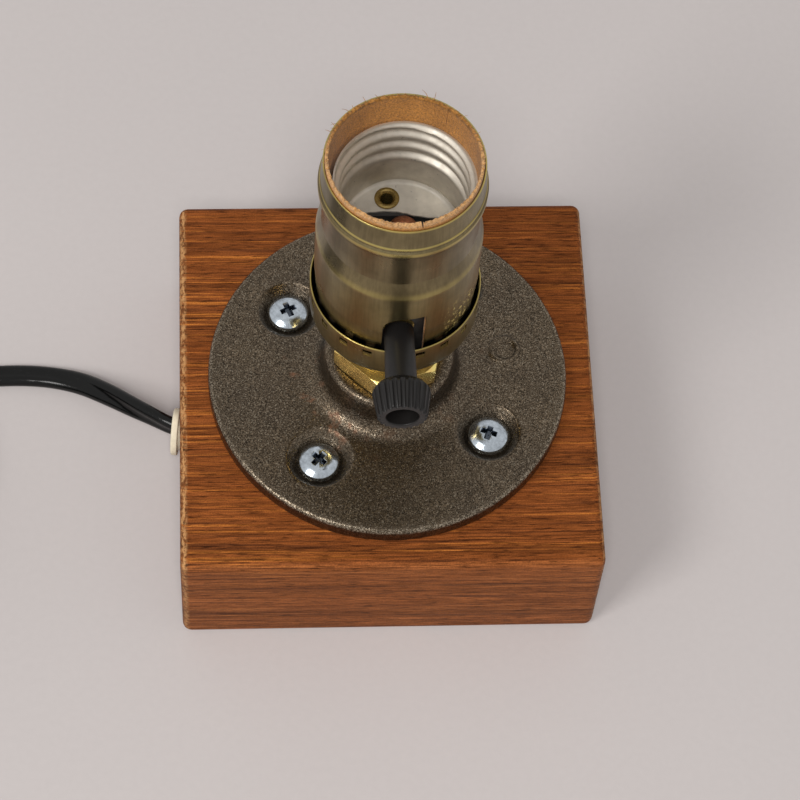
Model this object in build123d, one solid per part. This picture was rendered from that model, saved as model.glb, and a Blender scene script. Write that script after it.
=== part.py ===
"""Table lamp: a wood block carries a cast floor flange, and a brass socket with a turn switch stands on it.

Millimetres, +Z up. The origin is the middle of the block's underside. The knob points to -Y, and the cord
leaves the block on its -X side.
"""
import math
import os

from build123d import *

# Wood block
base_width = 87.0
base_depth = 86.5
base_height = 31.7
base_edge_round = 2.0
wire_well_radius = 5.5
wire_well_floor = 4.0
side_bore_height = 9.0

# Cast floor flange
flange_radius = 37.5
flange_rim = 3.9
flange_rim_round = 1.0
flange_rise = 0.9
pipe_thread_radius = 10.35
hub_wall = 3.65
hub_draft = 0.5
hub_height = 13.4
hub_foot_round = 4.5
hub_top_round = 1.6
dish_radius = 6.3
dish_floor_radius = 4.9
dish_depth = 1.6
screw_hole_radius = 2.6

# Flange screws
screw_count = 4
screw_circle_radius = 25.3
screw_first_angle = 54.0
screw_head_radius = 4.0
screw_head_height = 2.5
screw_shank_radius = 1.75
screw_length = 16.0
cross_length = 4.4
cross_width = 1.2
cross_depth = 1.5
cross_turn = 23.0

# Hex bushing, nipple and cap collar
hex_across_flats = 21.0
hex_height = 5.7
hex_chamfer = 0.8
hex_turn = 16.6
hex_lift = 0.2
bushing_thread_length = 11.0
nipple_radius = 5.0
nipple_bore_radius = 3.4
nipple_into_bushing = 10.0
nipple_into_cap = 4.0
collar_wall = 1.0
collar_height = 6.0
collar_ledge = 1.2
collar_flare = 0.9
collar_flare_height = 0.8
set_screw_radius = 1.5
set_screw_length = 2.4
set_screw_slot_width = 0.5
set_screw_slot_depth = 0.7

# Socket cap
cap_gap = 0.3
cap_wall = 0.45
cap_height = 17.3
cap_wall_height = 7.3
cap_round = 4.0
cap_seat_margin = 0.8
cap_neck_height = 2.1
cap_slot_count = 20
cap_slot_width = 1.9
cap_slot_height = 1.3
cap_slot_drop = 2.2
cap_slot_turn = -3.0

# Socket shell
shell_wall = 0.4
shell_height = 49.4
shell_into_cap = 7.0
shoulder_step = 1.0
bead_stand = 0.9
bead_end_stand = 0.55
rim_stand = 0.1
shoulder_foot = 25.8
shoulder_top = 30.8
bead_foot = 39.3
bead_middle = 42.4
bead_top = 45.0
notch_width = 8.4
notch_height = 18.5
notch_turn = 3.0

# Fibre liner
liner_wall = 0.8
liner_gap = 0.2
liner_clearance = 0.15
liner_stand = 1.1
liner_lift = 1.2

# Screw shell for the bulb
thread_crest_radius = 12.25
thread_root_radius = 13.3
thread_pitch = 3.629
thread_turns = 3
thread_flat = 0.7
thread_lead_in = 2.0
cup_radius = 12.0
screw_shell_wall = 0.35
screw_shell_drop = 7.05
screw_shell_depth = 18.65
tab_front = 4.6
eyelet_x = -2.1
eyelet_y = 7.9
eyelet_flange_radius = 2.45
eyelet_radius = 1.6
eyelet_bore_radius = 1.2
eyelet_flange_height = 0.5

# Centre contact and its flat spring
contact_x = 0.9
contact_y = 0.9
contact_radius = 2.9
contact_rim = 0.6
contact_dome = 1.2
contact_stem_radius = 1.3
contact_travel = 1.0
contact_step = 1.75
contact_air = 0.2
contact_guide = 1.9
leaf_drop = 1.6
leaf_width = 5.0
leaf_wall = 0.4
leaf_front = -3.5
leaf_grip = 3.2

# Switch body and what is in it
body_gap = 0.55
body_lift = 7.8
body_chamfer = 1.0
wire_space_radius = 10.3
wire_space_height = 3.0
rotor_room_front = -7.0
rotor_room_back = 2.6
rotor_room_gap = 0.6
spindle_radius = 1.5
back_bearing = 2.8
bush_radius = 3.0
bush_inset = 0.1
rotor_radius = 4.2
rotor_flat = 3.2
rotor_front = -5.0
rotor_length = 7.0
leaf_room_gap = 0.7

# Terminals and leads
terminal_room_depth = 3.3
terminal_drop = 4.9
terminal_wall = 1.0
terminal_width = 7.0
terminal_height = 7.5
terminal_room_width = 8.0
terminal_head_radius = 2.5
terminal_head_height = 1.6
terminal_slot_width = 0.7
terminal_shank_radius = 1.4
terminal_shank_length = 4.0
lead_radius = 0.75
lead_spacing = 2.0
lead_rise = 2.2
lead_reach = 4.0
lead_headroom = 0.85

# Turn knob
knob_lift = 3.9
stem_root_radius = 2.85
stem_tip_radius = 3.15
stem_length = 12.75
head_length = 7.0
head_shoulder = 1.6
head_lip = 0.4
head_back_radius = 5.75
head_front_radius = 4.85
rib_count = 22
rib_depth = 0.35
hollow_radius = 3.2
hollow_depth = 5.0
knob_grip = 11.2

# Grommet and cord
grommet_radius = 5.1
grommet_flange = 1.4
grommet_shank_radius = 3.9
grommet_shank_length = 6.0
grommet_tilt = 6.0
grommet_play = 0.9
cord_radius = 1.95
cord_play = 0.3
cord_bend_inside = 11.9

# Coil, tie and plug
coil_x = -125.0
coil_y = -11.0
coil_inner_radius = 20.6
coil_turn_step = 5.1
coil_turns = 2.125
coil_layers = 4
coil_layer_step = 4.4
coil_bulge = 0.6
tie_angle = 205.0
tie_width = 6.0
tie_wall = 0.7
tie_clearance = 0.2
tail_drop = 45.0
plug_length = 27.0
plug_width = 22.0
plug_height = 15.2
plug_round = 3.5
relief_length = 22.0
relief_radius = 4.6
relief_tip_radius = 2.7
blade_length = 17.0
blade_height = 6.35
blade_wall = 1.5
blade_spacing = 12.7

# Clearances
thread_clearance = 0.05
slip_clearance = 0.05
running_clearance = 0.06
room_clearance = 0.35

# Radii that follow from the sizes above
hub_radius = pipe_thread_radius + hub_wall
collar_neck_radius = nipple_radius + collar_wall
collar_radius = collar_neck_radius + collar_ledge
collar_flare_radius = collar_neck_radius + collar_flare
cap_seat_radius = collar_radius + cap_seat_margin
liner_bore_radius = thread_root_radius + screw_shell_wall + liner_gap
liner_radius = liner_bore_radius + liner_wall
body_radius = liner_bore_radius - body_gap
waist_radius = liner_radius + liner_clearance + shell_wall
shell_radius = waist_radius + shoulder_step
bead_radius = waist_radius + bead_stand
rim_radius = waist_radius + rim_stand
cap_radius = shell_radius + cap_gap + cap_wall
terminal_face = body_radius - terminal_room_depth
rotor_room_radius = rotor_radius + rotor_room_gap
side_bore_radius = grommet_shank_radius + grommet_play
cord_hole_radius = cord_radius + cord_play

# Heights and places that follow from them
hub_top = base_height + hub_height
hex_foot = hub_top + hex_lift
hex_top = hex_foot + hex_height
cap_seat = hex_top + collar_height
cap_rim = cap_seat + cap_height
shell_foot = cap_rim - shell_into_cap
shell_rim = shell_foot + shell_height
knob_height = cap_rim + knob_lift
screw_shell_rim = shell_rim - screw_shell_drop
tab_top = screw_shell_rim - screw_shell_depth
body_top = tab_top - screw_shell_wall
body_step = body_top - contact_step
body_foot = cap_seat + body_lift
wire_space_top = body_foot + wire_space_height
leaf_room_top = body_step - contact_guide
contact_seat = body_step + contact_travel + contact_air
stem_foot = leaf_room_top - leaf_drop
leaf_back = rotor_room_back + leaf_grip
terminal_middle = knob_height - terminal_drop
knob_root = body_radius + room_clearance
stem_end = knob_root + stem_length
spindle_front = -knob_root - knob_grip
spindle_back = rotor_room_back + back_bearing
rotor_back = rotor_front + rotor_length
dish_floor = base_height + flange_rim + flange_rise / 2 - dish_depth


def outline(start, *moves):
    """Closed face of lines and arcs: a pair ends a line, and two pairs are an arc through the first."""
    edges = []
    here = start
    for move in moves:
        if isinstance(move[0], tuple):
            through, here_next = move
            edges.append(ThreePointArc(here, through, here_next))
        else:
            here_next = move
            edges.append(Line(here, here_next))
        here = here_next
    edges.append(Line(here, start))
    return make_face(edges)


def turned(start, *moves):
    """Solid of revolution about the lamp's upright axis."""
    return revolve(Plane.XZ * outline(start, *moves), Axis.Z)


def dome_middle(radius, edge, rise):
    """Middle of the arc from a dome's edge to its crown on the axis."""
    sphere = (radius * radius + rise * rise) / (2 * rise)
    half = math.asin(radius / sphere) / 2
    return (sphere * math.sin(half), edge + rise - sphere * (1 - math.cos(half)))


def tube(inner, outer, low, high):
    """Upright ring between two heights."""
    return turned((inner, low), (outer, low), (outer, high), (inner, high))


def rod(radius, low, high):
    """Upright round bar on the lamp's axis."""
    return Pos(0, 0, low) * Cylinder(radius, high - low, align=(Align.CENTER, Align.CENTER, Align.MIN))


def bar(x, y, z):
    """Box between pairs of limits."""
    size = [pair[1] - pair[0] for pair in (x, y, z)]
    middle = [(pair[1] + pair[0]) / 2 for pair in (x, y, z)]
    return Pos(*middle) * Box(*size)


def along_knob(radius, front, back):
    """Round bar on the knob's axis between two places along Y."""
    middle = (front + back) / 2
    return Pos(0, middle, knob_height) * Rot(90, 0, 0) * Cylinder(radius, back - front)


def screw_places():
    """Flange screw axes round the hub."""
    for number in range(screw_count):
        angle = math.radians(screw_first_angle + 360 * number / screw_count)
        yield Pos(screw_circle_radius * math.cos(angle), screw_circle_radius * math.sin(angle), 0)


def wood_base():
    """Block with the wire well under the flange, the cord's bore and the pilot holes."""
    block = Pos(0, 0, base_height / 2) * Box(base_width, base_depth, base_height)
    block = fillet(block.edges(), base_edge_round)
    block -= rod(wire_well_radius, wire_well_floor, base_height + 1)
    side_bore = Cylinder(side_bore_radius, base_width / 2, align=(Align.CENTER, Align.CENTER, Align.MAX))
    block -= Pos(0, 0, side_bore_height) * Rot(0, 90, 0) * side_bore
    pilot = rod(screw_shank_radius + thread_clearance, dish_floor - screw_length - 1, base_height + 1)
    for place in screw_places():
        block -= place * pilot
    return block


def floor_flange():
    """Disc with a soft rim, a hub with a wide foot fillet, and a dish round each screw hole."""
    rim = base_height + flange_rim
    disc_top = rim + flange_rise
    hub_top_radius = hub_radius - hub_draft
    foot_mid = hub_foot_round * (1 - math.sqrt(0.5))
    round_mid = hub_top_round * (1 - math.sqrt(0.5))
    rim_mid = flange_rim_round * (1 - math.sqrt(0.5))
    casting = turned(
        (pipe_thread_radius, base_height),
        (flange_radius, base_height),
        (flange_radius, rim - flange_rim_round),
        ((flange_radius - rim_mid, rim - rim_mid), (flange_radius - flange_rim_round, rim)),
        (hub_radius + hub_foot_round, disc_top),
        ((hub_radius + foot_mid, disc_top + foot_mid), (hub_radius, disc_top + hub_foot_round)),
        (hub_top_radius, hub_top - hub_top_round),
        ((hub_top_radius - round_mid, hub_top - round_mid), (hub_top_radius - hub_top_round, hub_top)),
        (pipe_thread_radius, hub_top),
    )
    dish_top = disc_top + flange_rise
    flare = (dish_radius - dish_floor_radius) / dish_depth
    mouth_radius = dish_floor_radius + flare * (dish_top - dish_floor)
    dish = turned((0, dish_floor), (dish_floor_radius, dish_floor), (mouth_radius, dish_top), (0, dish_top))
    hole = rod(screw_hole_radius, base_height - 1, dish_top)
    for place in screw_places():
        casting -= place * (dish + hole)
    return casting


def flange_screws():
    """Pan head wood screws with a cross recess."""
    crown = dish_floor + screw_head_height
    dome = screw_head_height / 2
    edge = crown - dome
    tip = dish_floor - screw_length
    screw = turned(
        (0, tip),
        (screw_shank_radius, tip + 2 * screw_shank_radius),
        (screw_shank_radius, dish_floor),
        (screw_head_radius, dish_floor),
        (screw_head_radius, edge),
        (dome_middle(screw_head_radius, edge, dome), (0, crown)),
    )
    arm = Pos(0, 0, crown) * Box(cross_length, cross_width, 2 * cross_depth)
    screw -= arm + Rot(0, 0, 90) * arm
    screws = [place * Rot(0, 0, cross_turn * number) * screw for number, place in enumerate(screw_places())]
    return Compound(children=screws)


def hex_bushing():
    """Hexagon over the hub with a plain barrel for the pipe thread, bored for the nipple."""
    corner_radius = hex_across_flats / math.sqrt(3)
    prism = extrude(Pos(0, 0, hex_foot) * Rot(0, 0, hex_turn) * RegularPolygon(corner_radius, 6), hex_height)
    slope = hex_chamfer * 0.6
    limit = turned(
        (0, hex_foot),
        (corner_radius - hex_chamfer, hex_foot),
        (corner_radius, hex_foot + slope),
        (corner_radius, hex_top - slope),
        (corner_radius - hex_chamfer, hex_top),
        (0, hex_top),
    )
    barrel = rod(pipe_thread_radius - thread_clearance, hex_foot - bushing_thread_length, hex_foot)
    bore = rod(nipple_radius + thread_clearance, hex_foot - bushing_thread_length - 1, hex_top + 1)
    return (prism & limit) + barrel - bore


def threaded_nipple():
    """Hollow tube that joins bushing and collar."""
    return tube(nipple_bore_radius, nipple_radius, hex_top - nipple_into_bushing, cap_seat + nipple_into_cap)


def set_screw_axis():
    """Where the grub screw runs, pointing out of the collar's back."""
    return Pos(0, 0, (hex_top + cap_seat) / 2) * Rot(-90, 0, 0)


def cap_collar():
    """Threaded collar under the cap, staked over the cap's floor."""
    neck_top = cap_seat + cap_wall + slip_clearance
    bore = nipple_radius + thread_clearance
    collar = turned(
        (bore, hex_top),
        (collar_radius, hex_top),
        (collar_radius, cap_seat),
        (collar_neck_radius, cap_seat),
        (collar_neck_radius, neck_top),
        (collar_flare_radius, neck_top),
        (collar_neck_radius, neck_top + collar_flare_height),
        (bore, neck_top + collar_flare_height),
    )
    return collar - set_screw_axis() * rod(set_screw_radius + thread_clearance, 0, 2 * collar_radius)


def collar_set_screw():
    """Slotted grub screw that bears on the nipple."""
    end = nipple_radius + set_screw_length
    screw = rod(set_screw_radius, nipple_radius, end)
    slot = Pos(0, 0, end) * Box(2 * set_screw_radius, set_screw_slot_width, 2 * set_screw_slot_depth)
    return set_screw_axis() * (screw - slot)


def socket_cap():
    """Spun cup: upright wall with a row of slots, a round turn and a sloping floor down to the collar."""
    wall_foot = cap_rim - cap_wall_height
    turn_x = cap_radius - cap_round

    def run(inset):
        """Neck, slope and turn at a depth below the outer skin; the slope is tangent to the turn."""
        neck = (cap_seat_radius - inset, cap_seat + cap_neck_height + inset / 2)
        turn = cap_round - inset
        away = math.hypot(turn_x - neck[0], wall_foot - neck[1])
        slope = math.atan2(wall_foot - neck[1], turn_x - neck[0]) - math.asin(turn / away)
        half = (slope - math.pi / 2) / 2
        slope_end = (turn_x + turn * math.sin(slope), wall_foot - turn * math.cos(slope))
        turn_middle = (turn_x + turn * math.cos(half), wall_foot + turn * math.sin(half))
        return neck, slope_end, turn_middle, (cap_radius - inset, wall_foot)

    hole_radius = collar_neck_radius + slip_clearance
    neck, slope_end, turn_middle, wall_start = run(0)
    inner_neck, inner_slope_end, inner_turn_middle, inner_wall_start = run(cap_wall)
    cup = turned(
        (hole_radius, cap_seat),
        (cap_seat_radius, cap_seat),
        neck,
        slope_end,
        (turn_middle, wall_start),
        (cap_radius, cap_rim),
        (cap_radius - cap_wall, cap_rim),
        inner_wall_start,
        (inner_turn_middle, inner_slope_end),
        inner_neck,
        (cap_seat_radius - cap_wall, cap_seat + cap_wall),
        (hole_radius, cap_seat + cap_wall),
    )
    slot_middle = cap_rim - cap_slot_drop
    slot = bar(
        (cap_radius - 2 * cap_wall, cap_radius + cap_wall),
        (-cap_slot_width / 2, cap_slot_width / 2),
        (slot_middle - cap_slot_height / 2, slot_middle + cap_slot_height / 2),
    )
    for number in range(cap_slot_count):
        cup -= Rot(0, 0, cap_slot_turn - 90 + 360 * number / cap_slot_count) * slot
    return cup


def stem_notch(radius):
    """Upright slot with a round top for the knob's stem, cut through a wall of the given radius."""
    top = shell_foot + notch_height
    half = notch_width / 2
    corner = half * 0.6
    face = make_face(
        [
            Line((-half, shell_foot - 1), (half, shell_foot - 1)),
            Line((half, shell_foot - 1), (half, top - corner)),
            RadiusArc((half, top - corner), (half - corner, top), -corner),
            Line((half - corner, top), (corner - half, top)),
            RadiusArc((corner - half, top), (-half, top - corner), -corner),
            Line((-half, top - corner), (-half, shell_foot - 1)),
        ]
    )
    return Rot(0, 0, notch_turn) * extrude(Plane.XZ * face, radius + 1)


def socket_shell():
    """Thin shell: straight foot, sloping shoulder, waist, round bead and a collar that draws in."""

    def run(wall):
        return [
            (shell_radius - wall, shell_foot),
            (shell_radius - wall, shell_foot + shoulder_foot),
            (waist_radius - wall, shell_foot + shoulder_top),
            (waist_radius - wall, shell_foot + bead_foot),
            (
                (bead_radius - wall, shell_foot + bead_middle),
                (waist_radius + bead_end_stand - wall, shell_foot + bead_top),
            ),
            (rim_radius - wall, shell_rim),
        ]

    outer = run(0)
    inner = run(shell_wall)
    back = [
        inner[4][1],
        (inner[4][0], inner[3]),
        inner[2],
        inner[1],
        inner[0],
    ]
    shell = turned(outer[0], *outer[1:], inner[5], *back)
    return shell - stem_notch(shell_radius)


def fibre_liner():
    """Plain tube inside the shell, notched like it."""
    liner = tube(liner_bore_radius, liner_radius, shell_foot + liner_lift, shell_rim + liner_stand)
    return liner - stem_notch(liner_radius)


def screw_shell():
    """Rolled thread as rings at the thread's pitch, with a plain cup below."""
    half = thread_flat / 2
    slope = (thread_pitch - 2 * thread_flat) / 2
    steps = [(thread_root_radius, screw_shell_rim)]
    middle = screw_shell_rim - thread_lead_in
    for _ in range(thread_turns):
        steps.append((thread_root_radius, middle + half + slope))
        steps.append((thread_crest_radius, middle + half))
        steps.append((thread_crest_radius, middle - half))
        steps.append((thread_root_radius, middle - half - slope))
        middle -= thread_pitch
    thread_end = middle + thread_pitch - half - slope
    steps.append((thread_root_radius, thread_end - thread_flat))
    steps.append((cup_radius, thread_end - thread_flat - slope))
    steps.append((cup_radius, body_top))
    outer = [(radius + screw_shell_wall, height) for radius, height in reversed(steps)]
    return turned(*steps, *outer)


def shell_tab():
    """Flat tab across the back of the cup's floor, with the eyelet's hole."""
    tab = rod(cup_radius, body_top, tab_top)
    tab -= bar((-2 * cup_radius, 2 * cup_radius), (-2 * cup_radius, tab_front), (body_top - 1, tab_top + 1))
    hole = Pos(eyelet_x, eyelet_y, 0) * rod(eyelet_radius + slip_clearance, body_top - 1, tab_top + 1)
    return tab - hole


def shell_eyelet():
    """Long eyelet from the tab down through both halves of the body."""
    top = tab_top + eyelet_flange_height
    eyelet = turned(
        (eyelet_bore_radius, wire_space_top),
        (eyelet_radius, wire_space_top),
        (eyelet_radius, tab_top),
        (eyelet_flange_radius, tab_top),
        (eyelet_flange_radius, tab_top + eyelet_flange_height / 2),
        (eyelet_bore_radius + eyelet_flange_height, top),
        (eyelet_bore_radius, tab_top),
    )
    return Pos(eyelet_x, eyelet_y, 0) * eyelet


def centre_contact():
    """Domed button on a guide stem."""
    edge = contact_seat + contact_rim
    button = turned(
        (0, stem_foot),
        (contact_stem_radius, stem_foot),
        (contact_stem_radius, contact_seat),
        (contact_radius, contact_seat),
        (contact_radius, edge),
        (dome_middle(contact_radius, edge, contact_dome), (0, edge + contact_dome)),
    )
    return Pos(contact_x, contact_y, 0) * button


def contact_leaf():
    """Flat spring that the stem stands on, held at its back end."""
    half = leaf_width / 2
    wide = (contact_x - half, contact_x + half)
    return bar(wide, (leaf_front, leaf_back), (stem_foot - leaf_wall, stem_foot))


def switch_cavities():
    """Everything that is hollow in the two halves of the switch body."""
    bush_hole = along_knob(bush_radius + slip_clearance, -body_radius - 1, rotor_room_front)
    rotor_room = along_knob(rotor_room_radius, rotor_room_front, rotor_room_back)
    bearing = along_knob(spindle_radius + running_clearance, rotor_room_back, spindle_back + room_clearance)
    half = leaf_width / 2 + leaf_room_gap
    leaf_room = bar(
        (contact_x - half, contact_x + half),
        (rotor_room_front, rotor_room_back),
        (knob_height, leaf_room_top),
    )
    half = leaf_width / 2 + slip_clearance
    leaf_slot = bar(
        (contact_x - half, contact_x + half),
        (rotor_room_back - 1, leaf_back + slip_clearance),
        (stem_foot - leaf_wall - slip_clearance, stem_foot + slip_clearance),
    )
    guide = rod(contact_stem_radius + running_clearance, leaf_room_top - 1, body_top)
    guide = Pos(contact_x, contact_y, 0) * guide
    eyelet_hole = rod(eyelet_radius + slip_clearance, wire_space_top - 1, body_top + 1)
    eyelet_hole = Pos(eyelet_x, eyelet_y, 0) * eyelet_hole
    return bush_hole + rotor_room + bearing + leaf_room + leaf_slot + guide + eyelet_hole


def switch_body_upper():
    """Upper half from the spindle's axis to the tab, stepped down under the contact."""
    body = rod(body_radius, knob_height, body_top)
    across = 2 * body_radius
    step = bar((-across, across), (-across, tab_front - room_clearance), (body_step, body_top + 1))
    return body - step - switch_cavities()


def switch_body_lower():
    """Lower half with the wire space below and a terminal room on each side."""
    body = chamfer(rod(body_radius, body_foot, knob_height).edges().group_by(Axis.Z)[0], body_chamfer)
    body -= rod(wire_space_radius, body_foot - 1, wire_space_top)
    half = terminal_room_width / 2
    room_top = terminal_middle + terminal_height / 2 + room_clearance
    for side in (-1, 1):
        limits = sorted((side * terminal_face, side * (body_radius + 1)))
        body -= bar(limits, (-half, half), (body_foot - 1, room_top))
        body -= terminal_axis(side) * terminal_shank(thread_clearance)
    return body - switch_cavities()


def terminal_axis(side):
    """Place of a terminal screw, pointing out of the body's side."""
    return Pos(side * terminal_face, 0, terminal_middle) * Rot(0, 90 * side, 0)


def terminal_shank(extra):
    """Shank of a terminal screw, from the body's side wall inwards."""
    return rod(terminal_shank_radius + extra, -terminal_shank_length - extra, 0)


def terminal_plate(side):
    """Brass plate on one side of the lower body."""
    limits = sorted((side * terminal_face, side * (terminal_face + terminal_wall)))
    half = terminal_height / 2
    wide = terminal_width / 2
    plate = bar(limits, (-wide, wide), (terminal_middle - half, terminal_middle + half))
    hole = Cylinder(terminal_shank_radius + slip_clearance, 4 * terminal_wall)
    return plate - terminal_axis(side) * hole


def live_terminal():
    """Terminal on the right."""
    return terminal_plate(1)


def neutral_terminal():
    """Terminal on the left."""
    return terminal_plate(-1)


def terminal_screws():
    """One slotted screw in each terminal."""
    top = terminal_wall + terminal_head_height
    head = rod(terminal_head_radius, terminal_wall, top)
    neck = rod(terminal_shank_radius, 0, terminal_wall)
    slot = Pos(0, 0, top) * Box(2 * terminal_head_radius, terminal_slot_width, terminal_head_height)
    screw = head + neck + terminal_shank(0) - slot
    return Compound(children=[terminal_axis(side) * screw for side in (-1, 1)])


def spindle_bush():
    """Bush in the front of the body that the spindle runs in."""
    bush = along_knob(bush_radius, -body_radius + bush_inset, rotor_room_front - slip_clearance)
    return bush - along_knob(spindle_radius + running_clearance, -body_radius - 1, rotor_room_front + 1)


def switch_spindle():
    """Steel spindle from inside the knob to the back bearing."""
    return along_knob(spindle_radius, spindle_front, spindle_back)


def switch_rotor():
    """Cam with two flats that turns with the spindle."""
    cam = along_knob(rotor_radius, rotor_front, rotor_back)
    tall = (knob_height - rotor_radius, knob_height + rotor_radius)
    keep = bar((-rotor_flat, rotor_flat), (rotor_front, rotor_back), tall)
    return (cam & keep) - along_knob(spindle_radius + slip_clearance / 2, rotor_front - 1, rotor_back + 1)


def ribbed_ring(radius, place):
    """Zigzag outline of the ribbed head at one place along the knob's axis."""
    points = []
    for number in range(2 * rib_count):
        reach = radius - rib_depth * (number % 2)
        angle = math.pi * number / rib_count
        points.append((reach * math.cos(angle), reach * math.sin(angle)))
    return Pos(0, 0, place) * make_face(Polyline(*points, close=True))


def turn_knob():
    """Tapered stem and a ribbed head with an open end, turned about the knob's axis."""
    widest = stem_end + head_shoulder
    front = stem_end + head_length
    stem = turned((0, knob_root), (stem_root_radius, knob_root), (stem_tip_radius, stem_end), (0, stem_end))
    rings = [ribbed_ring(head_back_radius, stem_end), ribbed_ring(head_front_radius, front)]
    ribs = loft(rings, ruled=True)
    limit = turned(
        (0, stem_end),
        (stem_tip_radius + head_lip, stem_end),
        ((head_back_radius - head_lip, stem_end + head_shoulder / 3), (head_back_radius, widest)),
        (head_back_radius, front - head_lip),
        (head_front_radius - head_lip, front),
        (0, front),
    )
    hollow = rod(hollow_radius, front - hollow_depth, front + 1)
    socket_end = knob_root + knob_grip + slip_clearance
    socket = rod(spindle_radius + slip_clearance / 2, knob_root - 1, socket_end)
    knob = stem + (ribs & limit) - hollow - socket
    return Pos(0, 0, knob_height) * Rot(90, 0, 0) * knob


def grommet_place():
    """Frame of the grommet: its flange lies askew on the block's side and +Z points out along the cord."""
    sway = grommet_radius * math.sin(math.radians(grommet_tilt))
    middle = Pos(-base_width / 2 - sway - slip_clearance, 0, side_bore_height)
    return middle * Rot(0, 0, -grommet_tilt) * Rot(0, -90, 0)


def cord_grommet():
    """Flange and shank with the cord's hole."""
    edge = grommet_flange * 0.35
    grommet = turned(
        (cord_hole_radius, -grommet_shank_length),
        (grommet_shank_radius, -grommet_shank_length),
        (grommet_shank_radius, 0),
        (grommet_radius, 0),
        (grommet_radius, grommet_flange - edge),
        (grommet_radius - edge, grommet_flange),
        (cord_hole_radius, grommet_flange),
    )
    return grommet_place() * grommet


def cord_exit():
    """Point where the cord leaves the grommet's outer face, and the way it points there."""
    place = grommet_place() * Pos(0, 0, grommet_flange)
    way = grommet_place() * Pos(0, 0, grommet_flange + 1)
    return place.position, (way.position - place.position).normalized()


def route(points, loosest=math.inf):
    """Path of straight runs and the largest tangent arcs that they allow, and the list of its radii."""
    points = [Vector(point) for point in points]
    radii = []
    for before, corner, after in zip(points, points[1:], points[2:]):
        turn = math.radians((corner - before).get_angle(after - corner))
        shorter = min((corner - before).length, (after - corner).length)
        radii.append(min(0.45 * shorter / math.tan(turn / 2), loosest))
    if not radii:
        return Wire([Edge.make_line(*points)]), radii
    return FilletPolyline(*points, radius=radii).wire(), radii


def swept(path, radius):
    """Round tube along a path."""
    start = Plane(origin=path @ 0, z_dir=path % 0)
    return sweep(start * Circle(radius), path=path)


def say(name, solid, path, radius, radii):
    """Print a cord's length, its volume against section times length, and its radii."""
    share = solid.volume / (math.pi * radius * radius * path.length)
    print(f"{name}: length {path.length:.1f} mm, volume over section times length {share:.5f}")
    if radii:
        print(f"{name}: radii", [round(value, 1) for value in radii], "mm")


def cord_along(name, points, radius, loosest=math.inf):
    """Tube of one stretch of cord, with its figures printed."""
    path, radii = route(points, loosest)
    solid = swept(path, radius)
    say(name, solid, path, radius, radii)
    return solid


def inner_cord():
    """Cord from the grommet's face through the block, round its bend and up the nipple."""
    leave, way = cord_exit()
    inside = leave - way * (grommet_flange + grommet_shank_length + 2 * cord_radius)
    points = [leave, inside, (0, 0, side_bore_height), (0, 0, cap_seat + nipple_into_cap + cord_radius / 2)]
    return cord_along("inner_cord", points, cord_radius, cord_bend_inside)


def lead(side):
    """One core from the cord's end to below a terminal screw."""
    foot = cap_seat + nipple_into_cap + cord_radius / 2
    near = side * lead_spacing / 2
    far = side * (terminal_face + terminal_wall + lead_radius + room_clearance)
    under_head = terminal_middle - terminal_head_radius - slip_clearance
    level = wire_space_top - lead_radius - lead_headroom
    points = [
        (near, 0, foot),
        (near, 0, foot + lead_rise),
        (near + side * lead_reach, 0, level - lead_radius),
        (far, 0, level),
        (far, 0, under_head),
    ]
    name = "live_lead" if side > 0 else "neutral_lead"
    return cord_along(name, points, lead_radius)


def live_lead():
    """Core on the right."""
    return lead(1)


def neutral_lead():
    """Core on the left."""
    return lead(-1)


def coil_start():
    """Where the free cord ends and the coil's straight start begins."""
    return Vector(coil_x + 2 * cord_radius, coil_y + coil_outer_radius(), coil_floor())


def coil_outer_radius():
    """Middle of the outermost turn."""
    return coil_inner_radius + coil_turns * coil_turn_step


def coil_floor():
    """Height of the lowest turns' middle, which lie on the tie's strap."""
    return cord_radius + tie_wall + tie_clearance


def cord_free():
    """Cord from the grommet to the coil: out, down to the table and away to the left."""
    leave, way = cord_exit()
    points = [
        leave,
        leave + way * 3.6,
        (-54.0, 6.6, 7.2),
        (-59.5, 11.0, 3.9),
        (-66.5, 14.9, 2.1),
        (-76.5, 17.3, 2.0),
        (-88.0, 17.6, 2.05),
        (-99.0, 18.9, 2.2),
        coil_start() + Vector(11.0, 0, 0),
        coil_start(),
    ]
    return cord_along("cord_free", points, cord_radius)


def coil_point(turn):
    """Middle of the cord after some turns: it spirals in and out, and climbs where the spiral reverses."""
    swing = coil_turns + 0.5
    layer = min(int(turn / swing), coil_layers - 1)
    within = turn - layer * swing
    travel = coil_turns * coil_turn_step
    share = min(within / coil_turns, 1.0)
    inward = layer % 2 == 0
    radius = coil_outer_radius() - travel * share if inward else coil_inner_radius + travel * share
    rise = 0.0
    if within > coil_turns:
        past = (within - coil_turns) / 0.5
        rise = past * past * (3 - 2 * past)
        bulge = coil_bulge * math.sin(math.pi * past)
        radius += -bulge if inward else bulge
    angle = math.pi / 2 + 2 * math.pi * turn
    height = coil_floor() + (layer + rise) * coil_layer_step
    return Vector(coil_x + radius * math.cos(angle), coil_y + radius * math.sin(angle), height)


def coil_length_in_turns():
    """All turns of the coil, with the half turns between layers."""
    return coil_layers * coil_turns + (coil_layers - 1) * 0.5


def coil_way(turn):
    """Direction of the cord in the coil."""
    step = 1e-4
    low = max(turn - step, 0)
    high = min(turn + step, coil_length_in_turns())
    return (coil_point(high) - coil_point(low)).normalized()


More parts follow.
